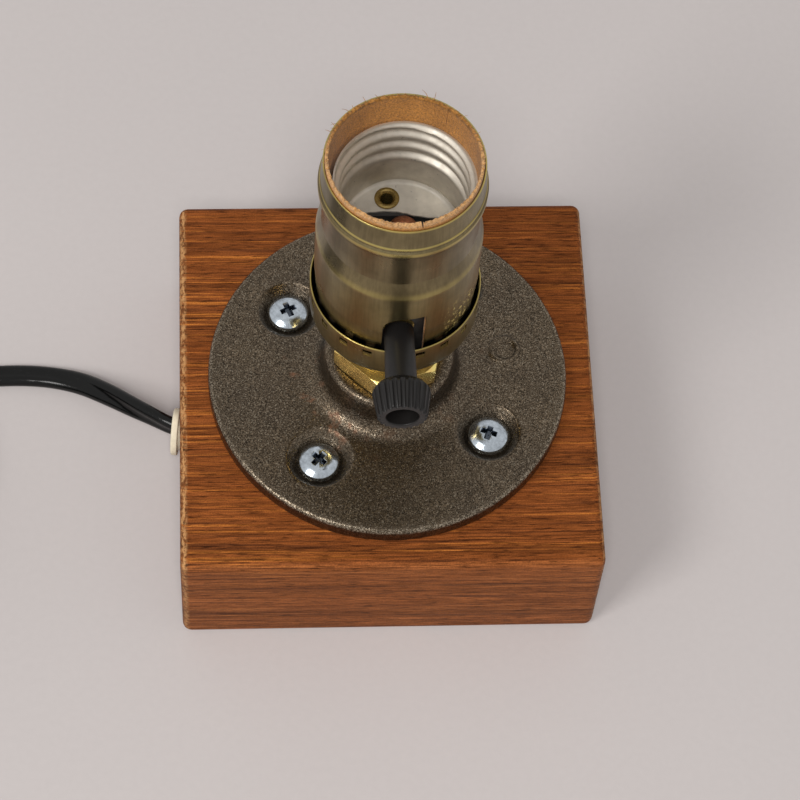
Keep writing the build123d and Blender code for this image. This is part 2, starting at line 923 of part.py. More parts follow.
def two_arcs(here, way, there, way_there):
    """Pair of tangent arcs from one point and direction to the next."""
    gap = there - here
    both = way + way_there
    turn = 2 * (1 - way.dot(way_there))
    reach = (math.sqrt(gap.dot(both) ** 2 + turn * gap.dot(gap)) - gap.dot(both)) / turn
    first = here + way * reach
    second = there - way_there * reach
    middle = (first + second) * 0.5
    return [
        Edge.make_tangent_arc(here, way, middle),
        Edge.make_tangent_arc(middle, (second - first).normalized(), there),
    ]


def cord_coil():
    """Put-away length as one tube: a pair of arcs for each quarter turn, with a straight start and end."""
    total = coil_length_in_turns()
    quarters = round(4 * total)
    level = Vector(-1, 0, 0)
    places = [coil_point(total * number / quarters) for number in range(quarters + 1)]
    ways = [coil_way(total * number / quarters) for number in range(quarters + 1)]
    ways[0] = level
    ways[-1] = level
    edges = [Edge.make_line(coil_start(), places[0])]
    for here, way, there, way_there in zip(places, ways, places[1:], ways[1:]):
        edges += two_arcs(here, way, there, way_there)
    edges.append(Edge.make_line(places[-1], places[-1] + level * 2 * cord_radius))
    path = Wire(edges)
    coil = swept(path, cord_radius)
    say("cord_coil", coil, path, cord_radius, [])
    print(f"cord_coil: least gap to itself {coil_gap(edges):.2f} mm over {total:.2f} turns")
    return coil


def coil_gap(edges):
    """Least distance between the tube's skin and itself, on points along the path more than a bend apart."""
    points = []
    travelled = []
    so_far = 0.0
    for edge in edges:
        count = max(2, round(edge.length / 1.2))
        for number in range(count):
            points.append(edge @ (number / count))
            travelled.append(so_far + edge.length * number / count)
        so_far += edge.length
    least = math.inf
    apart = 8 * cord_radius
    for one, (point, place) in enumerate(zip(points, travelled)):
        for other in range(one + 1, len(points)):
            if travelled[other] - place > apart:
                least = min(least, (points[other] - point).length)
    return least - 2 * cord_radius


def coil_end():
    """Where the coil's straight end stops."""
    last = coil_point(coil_length_in_turns())
    return Vector(last.X - 2 * cord_radius, last.Y, last.Z)


def plug_middle_height():
    """Height of the plug's axis as it lies flat."""
    return plug_height / 2


def relief_tip():
    """Point where the cord enters the plug's strain relief."""
    end = coil_end()
    return Vector(end.X - tail_drop, end.Y, plug_middle_height())


def cord_tail():
    """Cord from the coil's top layer down to the plug beside it."""
    end = coil_end()
    tip = relief_tip()
    drop = end.Z - tip.Z
    points = [
        end,
        (end.X - 8.0, end.Y, end.Z),
        (end.X - 18.5, end.Y + 1.2, end.Z - 0.28 * drop),
        (tip.X + 14.0, tip.Y + 1.2, tip.Z + 0.14 * drop),
        (tip.X + 7.0, tip.Y, tip.Z),
        tip,
    ]
    return cord_along("cord_tail", points, cord_radius)


def coil_tie():
    """Strap round the bundle of turns at one place."""
    slack = tie_clearance
    near = coil_inner_radius - cord_radius - coil_bulge - slack
    far = coil_outer_radius() + cord_radius + coil_bulge + slack
    low = tie_wall
    high = coil_floor() + (coil_layers - 1) * coil_layer_step + cord_radius + slack
    hole = bar((near, far), (-tie_width, tie_width), (low, high))
    strap = bar(
        (near - tie_wall, far + tie_wall), (-tie_width / 2, tie_width / 2), (low - tie_wall, high + tie_wall)
    )
    strap = fillet(strap.edges().filter_by(Axis.Y), tie_wall * 0.9)
    return Pos(coil_x, coil_y, 0) * Rot(0, 0, tie_angle) * (strap - hole)


def plug_relief():
    """Tapered strain relief between cord and plug."""
    tip = relief_tip()
    cone = turned((0, 0), (relief_tip_radius, 0), (relief_radius, relief_length), (0, relief_length))
    return Pos(tip.X, tip.Y, tip.Z) * Rot(0, -90, 0) * cone


def power_plug():
    """Moulded plug body, lying flat."""
    tip = relief_tip()
    middle = tip.X - relief_length - plug_length / 2
    body = Pos(middle, tip.Y, tip.Z) * Box(plug_length, plug_width, plug_height)
    body = fillet(body.edges().filter_by(Axis.X), plug_round)
    return chamfer(body.faces().sort_by(Axis.X)[-1].edges(), plug_round / 2)


def plug_blades():
    """Two flat blades on the plug's face."""
    tip = relief_tip()
    face = tip.X - relief_length - plug_length
    blades = []
    for side in (-1, 1):
        blade = Box(blade_length, blade_wall, blade_height)
        blade = chamfer(blade.faces().sort_by(Axis.X)[0].edges().filter_by(Axis.Z), blade_wall / 3)
        blades.append(Pos(face - blade_length / 2, tip.Y + side * blade_spacing / 2, tip.Z) * blade)
    return Compound(children=blades)


NODES = [
    wood_base,
    floor_flange,
    flange_screws,
    hex_bushing,
    threaded_nipple,
    cap_collar,
    collar_set_screw,
    socket_cap,
    socket_shell,
    fibre_liner,
    screw_shell,
    shell_tab,
    shell_eyelet,
    centre_contact,
    contact_leaf,
    switch_body_upper,
    switch_body_lower,
    spindle_bush,
    switch_spindle,
    switch_rotor,
    turn_knob,
    live_terminal,
    neutral_terminal,
    terminal_screws,
    inner_cord,
    live_lead,
    neutral_lead,
    cord_grommet,
    cord_free,
    cord_coil,
    cord_tail,
    coil_tie,
    plug_relief,
    power_plug,
    plug_blades,
]

os.makedirs("parts", exist_ok=True)
for node in NODES:
    export_step(node(), os.path.join("parts", node.__name__ + ".step"))
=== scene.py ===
"""Looks of the table lamp: a wood block with a cast flange, and a brass socket with a turn switch on it.

Metres, +Z up, in the packed frame: the origin is the middle of the block's underside, the knob points to -Y
and the cord leaves the block on its -X side. Profiles of turned pieces are in millimetres.
"""
import math
from contextlib import contextmanager

import bpy
from bpy.props import FloatProperty, FloatVectorProperty, IntProperty, PointerProperty
from mathutils import Matrix, Vector, noise


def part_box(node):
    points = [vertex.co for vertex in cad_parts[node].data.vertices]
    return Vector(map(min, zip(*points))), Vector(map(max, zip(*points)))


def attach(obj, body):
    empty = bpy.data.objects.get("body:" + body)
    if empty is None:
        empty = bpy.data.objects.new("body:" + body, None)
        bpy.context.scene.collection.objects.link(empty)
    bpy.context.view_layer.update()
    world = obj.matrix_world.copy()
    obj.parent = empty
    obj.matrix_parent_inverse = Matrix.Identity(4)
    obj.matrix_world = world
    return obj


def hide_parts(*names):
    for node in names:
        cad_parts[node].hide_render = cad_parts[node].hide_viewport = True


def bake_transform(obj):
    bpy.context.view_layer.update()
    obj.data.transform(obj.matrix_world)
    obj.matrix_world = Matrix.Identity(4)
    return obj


bl_info = {
    "name": "Block lamp",
    "version": (1, 0, 0),
    "blender": (4, 5, 0),
    "location": "3D View > Sidebar > Lamp",
    "description": "Builds the pieces of a small table lamp on its solid frame",
    "category": "Object",
}

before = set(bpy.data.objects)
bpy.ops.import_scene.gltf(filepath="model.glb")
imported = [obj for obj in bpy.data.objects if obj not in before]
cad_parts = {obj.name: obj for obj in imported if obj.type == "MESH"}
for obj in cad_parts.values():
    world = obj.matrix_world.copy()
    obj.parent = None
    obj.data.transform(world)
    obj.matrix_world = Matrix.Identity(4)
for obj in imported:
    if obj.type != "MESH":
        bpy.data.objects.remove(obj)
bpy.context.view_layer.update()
MM = 0.001
WELD = MM / 500
ARC_STEP = math.radians(14)
UPRIGHT = Vector((0, 0, 1))
COIL_MIDDLE = Vector((-125.0, -11.0, 0)) * MM


def length(name, default, about):
    """Length property, with its default in millimetres."""
    start = default * MM
    return FloatProperty(name=name, description=about, default=start, min=0.0, unit="LENGTH", precision=5)


def angle(name, default, about):
    """Angle property, with its default in degrees."""
    return FloatProperty(name=name, description=about, default=math.radians(default), subtype="ANGLE")


def count(name, default, about):
    """Whole number property."""
    return IntProperty(name=name, description=about, default=default, min=1)


def colour(name, default, about):
    """Colour property."""
    limits = {"min": 0.0, "max": 1.0}
    return FloatVectorProperty(name=name, description=about, default=default, subtype="COLOR", **limits)


def number(name, default, about):
    """Plain number property."""
    return FloatProperty(name=name, description=about, default=default, min=0.0)


def vector(name, default, about, subtype="TRANSLATION"):
    """Place in metres, or a direction."""
    return FloatVectorProperty(name=name, description=about, default=default, subtype=subtype)


class BlockSettings(bpy.types.PropertyGroup):
    """Wood block."""

    edge_round: length("Edge round", 1.9, "Radius of the block's edges")
    well_radius: length("Wire well", 5.5, "Radius of the well under the flange")
    well_floor: length("Well floor", 4.0, "Height of the well's floor above the table")
    bore_radius: length("Cord bore", 4.8, "Radius of the bore for the cord")
    bore_height: length("Bore height", 9.0, "Height of the bore above the table")
    streak: length("Grain spacing", 2.3, "Usual distance between grain lines")
    pith_front: length("Pith before", 130.0, "How far before the lamp's axis the tree's middle lies")
    pith_below: length("Pith below", 50.0, "How far below the table the tree's middle lies")
    dark: colour("Dark grain", (0.078, 0.024, 0.009), "Stain in the dense grain")
    middle: colour("Stain", (0.208, 0.064, 0.0170), "Stain on most of the wood")
    light: colour("Light grain", (0.425, 0.148, 0.030), "Stain on the open grain")
    worn: colour("Rubbed edge", (0.580, 0.310, 0.130), "Wood where the edges are rubbed")


class FlangeSettings(bpy.types.PropertyGroup):
    """Cast flange and its screws."""

    radius: length("Radius", 37.5, "Outer radius of the disc")
    rim: length("Rim", 3.9, "Thickness at the disc's edge")
    rise: length("Rise", 0.9, "How much the disc rises to the hub")
    hub_radius: length("Hub radius", 14.0, "Radius of the hub at its foot")
    hub_draft: length("Hub draft", 0.5, "How much the hub narrows to its top")
    bore: length("Bore", 10.35, "Radius of the threaded bore")
    foot_round: length("Foot fillet", 4.5, "Fillet between disc and hub")
    dish_radius: length("Dish", 7.1, "Radius of the dish round a screw")
    dish_floor: length("Dish floor", 4.45, "Radius of the dish's flat floor")
    dish_height: length("Dish floor height", 33.55, "Height of the dish's floor above the table")
    screw_circle: length("Screw circle", 25.3, "Radius on which the screws lie")
    first_screw: angle("First screw", 54.0, "Angle of the first screw")
    screws: count("Screws", 4, "Screws round the hub")
    skin: length("Casting skin", 0.37, "Size of the mesh of the casting's skin")
    head_radius: length("Head radius", 4.25, "Radius of a screw's pan head")
    head_height: length("Head height", 2.5, "Height of a screw's pan head")
    recess: length("Recess", 2.2, "Reach of the cross recess")
    turn: angle("Screw turn", 23.0, "How much each screw is turned past the one before")
    iron: colour("Iron", (0.088, 0.068, 0.047), "Casting")
    spark: colour("Iron glint", (0.50, 0.43, 0.33), "Grains that glint")
    rust: colour("Rust", (0.200, 0.075, 0.028), "Thin rust stains")
    zinc: colour("Zinc", (0.54, 0.60, 0.66), "Plating on the screws")


class SocketSettings(bpy.types.PropertyGroup):
    """Bushing, cap, shell, liner and thread of the bulb socket."""

    hex_flats: length("Hexagon", 21.0, "Distance across the bushing's flats")
    hex_turn: angle("Hexagon turn", 16.6, "Angle of the bushing's first corner")
    cap_wall: length("Cap wall", 0.35, "Thickness of the cap")
    cap_radius: length("Cap radius", 16.95, "Outer radius of the cap's wall")
    cap_slots: count("Cap slots", 20, "Small slots round the cap")
    slot_width: length("Slot width", 1.9, "Width of a small slot")
    slot_height: length("Slot height", 1.9, "Height of a small slot")
    slot_drop: length("Slot drop", 2.2, "Middle of the slots below the cap's rim")
    shell_wall: length("Shell wall", 0.4, "Thickness of the shell")
    notch_width: length("Notch width", 8.4, "Width of the slot for the knob's stem")
    notch_height: length("Notch height", 18.5, "Height of the slot above the shell's foot")
    notch_turn: angle("Notch turn", 3.0, "Angle of the slot from the front")
    thread_root: length("Thread root", 13.3, "Inner radius between the ridges")
    thread_crest: length("Thread crest", 12.25, "Inner radius of the ridges")
    thread_pitch: length("Thread pitch", 3.629, "Rise of one turn of the thread")
    cup_radius: length("Cup radius", 12.0, "Inner radius below the thread")
    tin: length("Sheet", 0.35, "Thickness of the screw shell")
    leaf_grip: length("Leaf grip", 3.2, "How much of the contact's leaf spring is held in the switch body")
    brass: colour("Bright brass", (1.0, 0.72, 0.25), "Turned brass")
    aged: colour("Aged brass", (0.220, 0.177, 0.094), "Darkened brass of the upper shell")
    olive: colour("Olive brass", (0.274, 0.222, 0.098), "Darkened brass of the lower shell and cap")
    rubbed: colour("Rubbed brass", (0.56, 0.45, 0.15), "Brass where the dark skin is rubbed off")
    fibre: colour("Fibre", (0.445, 0.198, 0.044), "Liner")
    torn: colour("Torn fibre", (0.64, 0.370, 0.165), "Liner at its cut edge")
    aluminium: colour("Aluminium", (0.73, 0.685, 0.60), "Screw shell")
    copper: colour("Copper", (0.66, 0.27, 0.15), "Centre contact")


class KnobSettings(bpy.types.PropertyGroup):
    """Turn knob."""

    axis_height: length("Axis height", 78.2, "Height of the knob's axis above the table")
    root: length("Root", 13.65, "Start of the stem from the lamp's axis")
    stem_end: length("Stem end", 26.4, "Where the head begins")
    front: length("Front", 33.4, "Where the head ends")
    stem_root_radius: length("Stem root", 2.85, "Radius of the stem at the shell")
    stem_radius: length("Stem", 3.15, "Radius of the stem at the head")
    head_radius: length("Head", 5.75, "Largest radius of the head")
    front_radius: length("Head front", 4.85, "Radius of the head at its front")
    hollow: length("Hollow", 3.2, "Radius of the open end")
    hollow_depth: length("Hollow depth", 5.0, "Depth of the open end")
    ribs: count("Ribs", 22, "Ribs round the head")
    black: colour("Plastic", (0.009, 0.008, 0.0075), "Knob")


class CordSettings(bpy.types.PropertyGroup):
    """Cord, grommet, coil and plug."""

    width: length("Cord width", 4.9, "Width of the flat twin cord")
    thickness: length("Cord thickness", 2.75, "Thickness of the flat twin cord")
    real_length: length("Cord length", 1750.0, "Length outside the block")
    coil_radius: length("Coil radius", 31.4375, "Middle of the outermost turn")
    coil_inner: length("Coil inside", 20.6, "Middle of the innermost turn")
    coil_step: length("Layer step", 3.0, "Distance between the coil's layers")
    grommet_radius: length("Grommet", 5.1, "Radius of the grommet's flange")
    grommet_flange: length("Grommet flange", 1.4, "Thickness of the grommet's flange")
    plug_round: length("Plug round", 1.87, "Radius of the plug's edges")
    vinyl: colour("Cord", (0.0025, 0.0026, 0.0025), "Cord and plug")
    cream: colour("Grommet", (0.765, 0.685, 0.515), "Grommet")


class StageSettings(bpy.types.PropertyGroup):
    """Floor, light and camera."""

    floor: colour("Floor", (0.570, 0.530, 0.522), "Table top")
    sky: colour("Room", (1.0, 0.985, 0.975), "Light from all round")
    sky_light: number("Room light", 0.32, "Strength of the light from all round")
    sky_seen: number("Room seen", 0.69, "Strength of the room that shows in metal")
    key: vector("Key light", (-0.85, -0.70, 1.15), "Where the small light at the left hangs")
    key_side: number("Key side", 0.48, "Side of the small light in metres")
    key_power: number("Key power", 9.2, "Power of the small light in watts")
    key_tone: colour("Key tone", (1.0, 0.985, 0.965), "Colour of the small light")
    front: vector("Front light", (-0.163, -1.50, 2.745), "Where the wide light at the front hangs")
    front_side: number("Front side", 0.75, "Side of the wide light in metres")
    front_power: number("Front power", 48.5, "Power of the wide light in watts")
    front_tone: colour("Front tone", (1.0, 0.985, 0.97), "Colour of the wide light")
    aim: vector("Aim", (0, 0, 0.05), "Where the lights point")
    camera: vector("Camera", (-0.03259, -0.30019, 0.58886), "Where the camera stands")
    ahead: vector("View", (0.0516, 0.4750, -0.8784), "Way the camera looks", "DIRECTION")
    right: vector("Right", (0.9986, -0.0351, 0.0397), "Way to the picture's right", "DIRECTION")
    lens: number("Lens", 135.7, "Focal length in millimetres")


GROUPS = {
    "lamp_block": BlockSettings,
    "lamp_flange": FlangeSettings,
    "lamp_socket": SocketSettings,
    "lamp_knob": KnobSettings,
    "lamp_cord": CordSettings,
    "lamp_stage": StageSettings,
}


def moved(place):
    """Matrix that moves to a place."""
    return Matrix.Translation(place)


def turned(way, axis):
    """Matrix that turns by an angle about an axis."""
    return Matrix.Rotation(way, 4, axis)


def deselect():
    """Select nothing."""
    bpy.ops.object.select_all(action="DESELECT")


def activate(piece):
    """Select one piece alone and make it the active one."""
    deselect()
    piece.select_set(True)
    bpy.context.view_layer.objects.active = piece
    return piece


@contextmanager
def editing(piece):
    """Edit mode on a piece, with all of it selected."""
    activate(piece)
    bpy.ops.object.mode_set(mode="EDIT")
    bpy.ops.mesh.select_all(action="SELECT")
    yield
    bpy.ops.object.mode_set(mode="OBJECT")


def face_out(piece):
    """Turn all faces of a piece outward."""
    with editing(piece):
        bpy.ops.mesh.normals_make_consistent(inside=False)
    return piece


def round_off(piece, radius):
    """Round all edges of a piece."""
    with editing(piece):
        bpy.ops.mesh.bevel(offset=radius, segments=5, affect="EDGES")
    return piece


def named(name):
    """The object that was just added, under its own name."""
    piece = bpy.context.object
    piece.name = name
    piece.data.name = name
    return piece


def modify(piece, kind, **settings):
    """Add a modifier to a piece and apply it."""
    activate(piece)
    modifier = piece.modifiers.new(kind.lower(), kind)
    for key, value in settings.items():
        setattr(modifier, key, value)
    bpy.ops.object.modifier_apply(modifier=modifier.name)
    return piece


def soften(piece, width, segments=2, sharp=35):
    """Round the sharp edges of a piece a little."""
    settings = {"width": width, "segments": segments, "harden_normals": False}
    return modify(piece, "BEVEL", limit_method="ANGLE", angle_limit=math.radians(sharp), **settings)


def carve(piece, tool, operation="DIFFERENCE"):
    """Cut a piece with a tool, which is used up."""
    modify(piece, "BOOLEAN", operation=operation, solver="EXACT", object=tool)
    bpy.data.objects.remove(tool, do_unlink=True)
    return piece


def seat(piece, place):
    """Put a piece at its place, with the place in its mesh."""
    activate(piece)
    piece.matrix_world = place
    bpy.ops.object.transform_apply(location=True, rotation=True, scale=True)
    return piece


def join(pieces):
    """Make one piece of several."""
    activate(pieces[0])
    for other in pieces[1:]:
        other.select_set(True)
    bpy.ops.object.join()
    return bpy.context.object


def repeat(piece, places):
    """Copies of a piece at the given places, joined as one piece; the pattern itself goes."""
    made = []
    for place in places:
        activate(piece)
        bpy.ops.object.duplicate(linked=False)
        made.append(seat(bpy.context.object, place))
    name = piece.name
    bpy.data.objects.remove(piece, do_unlink=True)
    piece = join(made)
    piece.name = name
    piece.data.name = name
    return piece


def brick(name, size, middle):
    """Box of a size at a place."""
    deselect()
    bpy.ops.mesh.primitive_cube_add(size=1.0)
    piece = named(name)
    return seat(piece, moved(middle) @ Matrix.Diagonal((*size, 1.0)))


def wire(name, points, depth=0.0):
    """Chain of edges through (across, up) points in the front plane, or behind it by a depth."""
    deselect()
    bpy.ops.mesh.primitive_plane_add(size=MM)
    piece = named(name)
    with editing(piece):
        bpy.ops.mesh.select_mode(type="VERT")
        bpy.ops.mesh.merge(type="CENTER")
        bpy.ops.transform.translate(value=(points[0][0], depth, points[0][1]))
        for here, there in zip(points, points[1:]):
            move = (there[0] - here[0], 0, there[1] - here[1])
            bpy.ops.mesh.extrude_region_move(TRANSFORM_OT_translate={"value": move})
    return piece


def slab(name, outline, deep):
    """Plate with an outline of (across, up) points in the front plane, as deep as given to both sides."""
    piece = wire(name, outline, -deep)
    with editing(piece):
        bpy.ops.mesh.remove_doubles(threshold=WELD)
        bpy.ops.mesh.edge_face_add()
        bpy.ops.mesh.select_all(action="SELECT")
        bpy.ops.mesh.extrude_region_move(TRANSFORM_OT_translate={"value": (0, 2 * deep, 0)})
    return face_out(piece)


def rounded(corners, closed=False):
    """Profile in metres through corners (radius, height, round) in millimetres."""
    points = []
    total = len(corners)
    for number, (radius, height, turn) in enumerate(corners):
        here = Vector((radius, height))
        end = not closed and number in (0, total - 1)
        if end or not turn:
            points.append(here)
            continue
        before = Vector(corners[number - 1][:2]) - here
        after = Vector(corners[(number + 1) % total][:2]) - here
        half = before.angle(after) / 2
        reach = min(turn / math.tan(half), 0.49 * before.length, 0.49 * after.length)
        arc = reach * math.tan(half)
        middle = here + (before.normalized() + after.normalized()).normalized() * arc / math.sin(half)
        first = here + before.normalized() * reach - middle
        last = here + after.normalized() * reach - middle
        sweep = first.angle_signed(last)
        steps = max(2, math.ceil(abs(sweep) / ARC_STEP))
        for step in range(steps + 1):
            spoke = first.copy()
            spoke.rotate(Matrix.Rotation(-sweep * step / steps, 2))
            points.append(middle + spoke)
    if closed:
        points.append(points[0].copy())
    return [(point.x * MM, point.y * MM) for point in points]


def lathe(name, profile, steps):
    """Turn a profile of (radius, height) about the upright axis."""
    piece = wire(name, profile)
    with editing(piece):
        bpy.ops.mesh.spin(steps=steps, angle=math.tau, center=(0, 0, 0), axis=(0, 0, 1))
        bpy.ops.mesh.select_all(action="SELECT")
        bpy.ops.mesh.remove_doubles(threshold=WELD)
    return face_out(piece)


def rod(name, radius, low, high, steps):
    """Plain round bar between two heights."""
    return lathe(name, [(0, low), (radius, low), (radius, high), (0, high)], steps)


def dress(piece, finish, body, slot, *nodes, sharp=38):
    """Give a piece its finish, its body, unless it bends between two, and the solids that it stands for."""
    activate(piece)
    bpy.ops.object.shade_smooth_by_angle(angle=math.radians(sharp))
    piece.data.materials.clear()
    piece.data.materials.append(finish)
    if body:
        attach(piece, body)
    if nodes:
        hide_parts(*nodes)
    return piece


def screw_places(flange):
    """Places of the flange screws, each turned a bit further."""
    for number in range(flange.screws):
        way = flange.first_screw + math.tau * number / flange.screws
        middle = Vector((math.cos(way), math.sin(way), 0)) * flange.screw_circle
        yield moved(middle) @ turned(flange.turn * number, "Z")


class Finish:
    """One procedural finish on Object coordinates."""

    sockets = {
        "colour": "Base Color",
        "metal": "Metallic",
        "rough": "Roughness",
        "bump": "Normal",
        "gloss": "Specular IOR Level",
        "sheen": "Sheen Weight",
    }

    def __init__(self, name):
        self.material = bpy.data.materials.new(name)
        self.material.use_nodes = True
        self.nodes = self.material.node_tree.nodes
        self.links = self.material.node_tree.links
        self.shader = self.nodes["Principled BSDF"]
        self.place = self.nodes.new("ShaderNodeTexCoord").outputs["Object"]

    def feed(self, socket, value):
        """Link a socket to another, or set it."""
        if isinstance(value, bpy.types.NodeSocket):
            self.links.new(value, socket)
        elif socket.type == "RGBA":
            socket.default_value = (*tuple(value)[:3], 1.0)
        else:
            socket.default_value = value

    def add(self, kind, sockets, **settings):
        """New node with its settings and inputs."""
        node = self.nodes.new("ShaderNode" + kind)
        for key, value in settings.items():
            setattr(node, key, value)
        for key, value in sockets.items():
            self.feed(node.inputs[key], value)
        return node

    def surface(self, **values):
        """Set the shader's inputs, and hand over the material."""
        for key, value in values.items():
            self.feed(self.shader.inputs[self.sockets[key]], value)
        return self.material

    def spread(self, scale=(1, 1, 1), turn=(0, 0, 0)):
        """Object coordinates, turned or squeezed."""
        return self.add("Mapping", {"Vector": self.place, "Rotation": turn, "Scale": scale}).outputs[0]

    def noise(self, size, detail=2.0, rough=0.5, at=None):
        """Soft noise whose patches are about the given size."""
        at = at or self.place
        sockets = {"Vector": at, "Scale": 1.0 / size, "Detail": detail, "Roughness": rough}
        return self.add("TexNoise", sockets).outputs[0]

    def cells(self, size):
        """Random colour in each of many cells of the given size."""
        return self.add("TexVoronoi", {"Vector": self.place, "Scale": 1.0 / size}).outputs["Color"]

    def maths(self, operation, first, second=0.0):
        """One sum."""
        return self.add("Math", {0: first, 1: second}, operation=operation).outputs[0]

    def times(self, first, *others):
        """Product of values."""
        for other in others:
            first = self.maths("MULTIPLY", first, other)
        return first

    def point(self, x, y, z):
        """Coordinates put together from three values."""
        return self.add("CombineXYZ", {0: x, 1: y, 2: z}).outputs[0]

    def reach(self, at):
        """Distance of coordinates from their origin."""
        return self.add("VectorMath", {0: at}, operation="LENGTH").outputs["Value"]

    def split(self, at=None):
        """The three coordinates on their own."""
        return self.add("SeparateXYZ", {0: at or self.place}).outputs

    def fade(self, value, low, high, start=0.0, end=1.0):
        """Soft step from one value to another while the input goes from low to high."""
        sockets = {"Value": value, "From Min": low, "From Max": high, "To Min": start, "To Max": end}
        return self.add("MapRange", sockets, interpolation_type="SMOOTHSTEP").outputs[0]

    def band(self, value, low, high, soft):
        """One between two limits, with soft sides."""
        rise = self.fade(value, low - soft, low + soft)
        fall = self.fade(value, high - soft, high + soft, 1.0, 0.0)
        return self.times(rise, fall)

    def ramp(self, value, *stops):
        """Colours between stops (place, colour)."""
        node = self.add("ValToRGB", {0: value})
        elements = node.color_ramp.elements
        while len(elements) < len(stops):
            elements.new(0.5)
        for element, (place, tone) in zip(elements, stops):
            element.position = place
            element.color = (*tuple(tone)[:3], 1.0)
        return node.outputs[0]

    def shades(self, value, tone, *stops):
        """Darker and lighter shades of a colour between stops (place, factor)."""
        return self.ramp(value, *((place, scaled(tone, factor)) for place, factor in stops))

    def blend(self, share, first, second, how="MIX"):
        """Mix of two colours."""
        sockets = {0: share, 6: first, 7: second}
        return self.add("Mix", sockets, data_type="RGBA", blend_type=how, clamp_factor=True).outputs[2]

    def tint(self, tone, value, dark, light, share=1.0):
        """Colour multiplied by a tone that a value picks between two stops (place, colour)."""
        return self.blend(share, tone, self.ramp(value, dark, light), "MULTIPLY")

    def relief(self, height, depth, under=None, strength=1.0):
        """Bump of a depth, on top of another."""
        sockets = {"Height": height, "Distance": depth, "Strength": strength}
        if under:
            sockets["Normal"] = under
        return self.add("Bump", sockets).outputs[0]


def scaled(tone, factor):
    """A colour made darker or lighter."""
    return tuple(min(1.0, part * factor) for part in tone)


def clamp(share):
    """A share, kept between nought and one."""
    return min(max(share, 0.0), 1.0)


def ease(share):
    """A share that starts and ends softly."""
    share = clamp(share)
    return share * share * (3 - 2 * share)


def stained_wood(block):
    """Stained wood with its grain along X: fine light and dark lines, short pores, rubbed ends, and painted
    light and reflection on the front face.
    """
    wood = Finish("stained_wood")
    x, y, z = wood.split()
    low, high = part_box("wood_base")
    inset = block.edge_round
    front = wood.fade(y, low.y + 0.2 * inset, low.y + 0.8 * inset, 1.0, 0.0)
    left = wood.fade(x, low.x + 0.45 * inset, low.x + 0.95 * inset, 1.0, 0.0)
    right = wood.fade(x, high.x - 0.45 * inset, high.x - 0.10 * inset)
    ends = wood.maths("MAXIMUM", left, right)
    rim = wood.fade(z, high.z - 1.1 * inset, high.z - 0.3 * inset)
    corner = wood.fade(wood.maths("ABSOLUTE", y), high.y - 0.9 * inset, high.y - 0.2 * inset)
    sway = wood.noise(38 * MM, 2.0, at=wood.spread((0.25, 1.0, 1.0)))
    lift = wood.times(wood.maths("SUBTRACT", sway, 0.5), 4 * MM)
    across = wood.maths("ADD", wood.maths("ADD", y, lift), block.pith_front)
    ring = wood.reach(wood.point(0.0, across, wood.maths("ADD", z, block.pith_below)))
    lines = wood.point(wood.times(x, 0.008), ring, 0.0)
    others = wood.point(wood.times(x, 0.012), ring, 0.7)
    fine = wood.point(wood.times(x, 0.020), ring, 0.3)
    broad = wood.noise(block.streak * 1.5, 4.0, 0.66, lines)
    thin = wood.noise(block.streak * 0.21, 2.0, 0.55, lines)
    thick = wood.noise(block.streak * 0.20, 2.0, 0.55, others)
    patches = wood.noise(24 * MM, 2.0)
    tone = wood.shades(broad, block.middle, (0.34, 0.64), (0.50, 1.0), (0.66, 1.20))
    bright = wood.times(wood.fade(thin, 0.55, 0.63), wood.fade(patches, 0.35, 0.6, 0.40, 0.85))
    bright = wood.times(bright, wood.fade(front, 0.0, 1.0, 1.0, 0.22))
    tone = wood.blend(bright, tone, block.light)
    dull = wood.times(wood.fade(thick, 0.55, 0.63), wood.fade(patches, 0.35, 0.6, 0.35, 0.75))
    tone = wood.blend(dull, tone, block.dark)
    dashes = wood.noise(0.30 * MM, 2.0, 0.6, wood.spread((0.09, 1.0, 1.0)))
    pores = wood.ramp(dashes, (0.34, (0.38, 0.36, 0.34)), (0.45, (1, 1, 1)), (0.68, (1.22, 1.20, 1.16)))
    tone = wood.blend(0.9, tone, pores, "MULTIPLY")
    hairs = wood.noise(0.24 * MM, 2.0, 0.6, fine)
    tone = wood.tint(tone, hairs, (0.36, (0.66, 0.60, 0.52)), (0.62, (1.28, 1.25, 1.18)))
    speck = wood.noise(0.24 * MM, 1.0, 0.5)
    tone = wood.tint(tone, speck, (0.30, (0.64, 0.62, 0.60)), (0.68, (1.32, 1.30, 1.26)), 0.7)
    tone = wood.tint(tone, patches, (0.35, (0.92, 0.90, 0.88)), (0.65, (1.05, 1.06, 1.08)))
    # Painted light and reflection: the front face is made lighter and bluer, for the light and the pale
    # reflection that it catches.
    tone = wood.blend(front, tone, (1.15, 1.27, 1.55), "MULTIPLY")
    tone = wood.blend(ends, tone, (0.74, 0.70, 0.68), "MULTIPLY")
    scrapes = wood.noise(0.8 * MM, 3.0, 0.65, wood.spread(turn=(0, 0, 0.6), scale=(1.0, 0.5, 1.0)))
    wear = wood.times(ends, wood.fade(scrapes, 0.40, 0.60, 0.10, 0.90))
    wear = wood.times(wear, wood.maths("MAXIMUM", rim, wood.times(corner, 0.7)))
    tone = wood.blend(wear, tone, wood.blend(0.6, block.worn, pores, "MULTIPLY"))
    sheen = wood.fade(thin, 0.3, 0.7, 0.62, 0.50)
    grain = wood.maths("ADD", wood.times(thin, 0.5), wood.times(dashes, 0.6))
    bump = wood.relief(grain, 0.08 * MM)
    bump = wood.relief(speck, 0.035 * MM, bump)
    return wood.surface(colour=tone, rough=sheen, bump=bump, gloss=0.09)


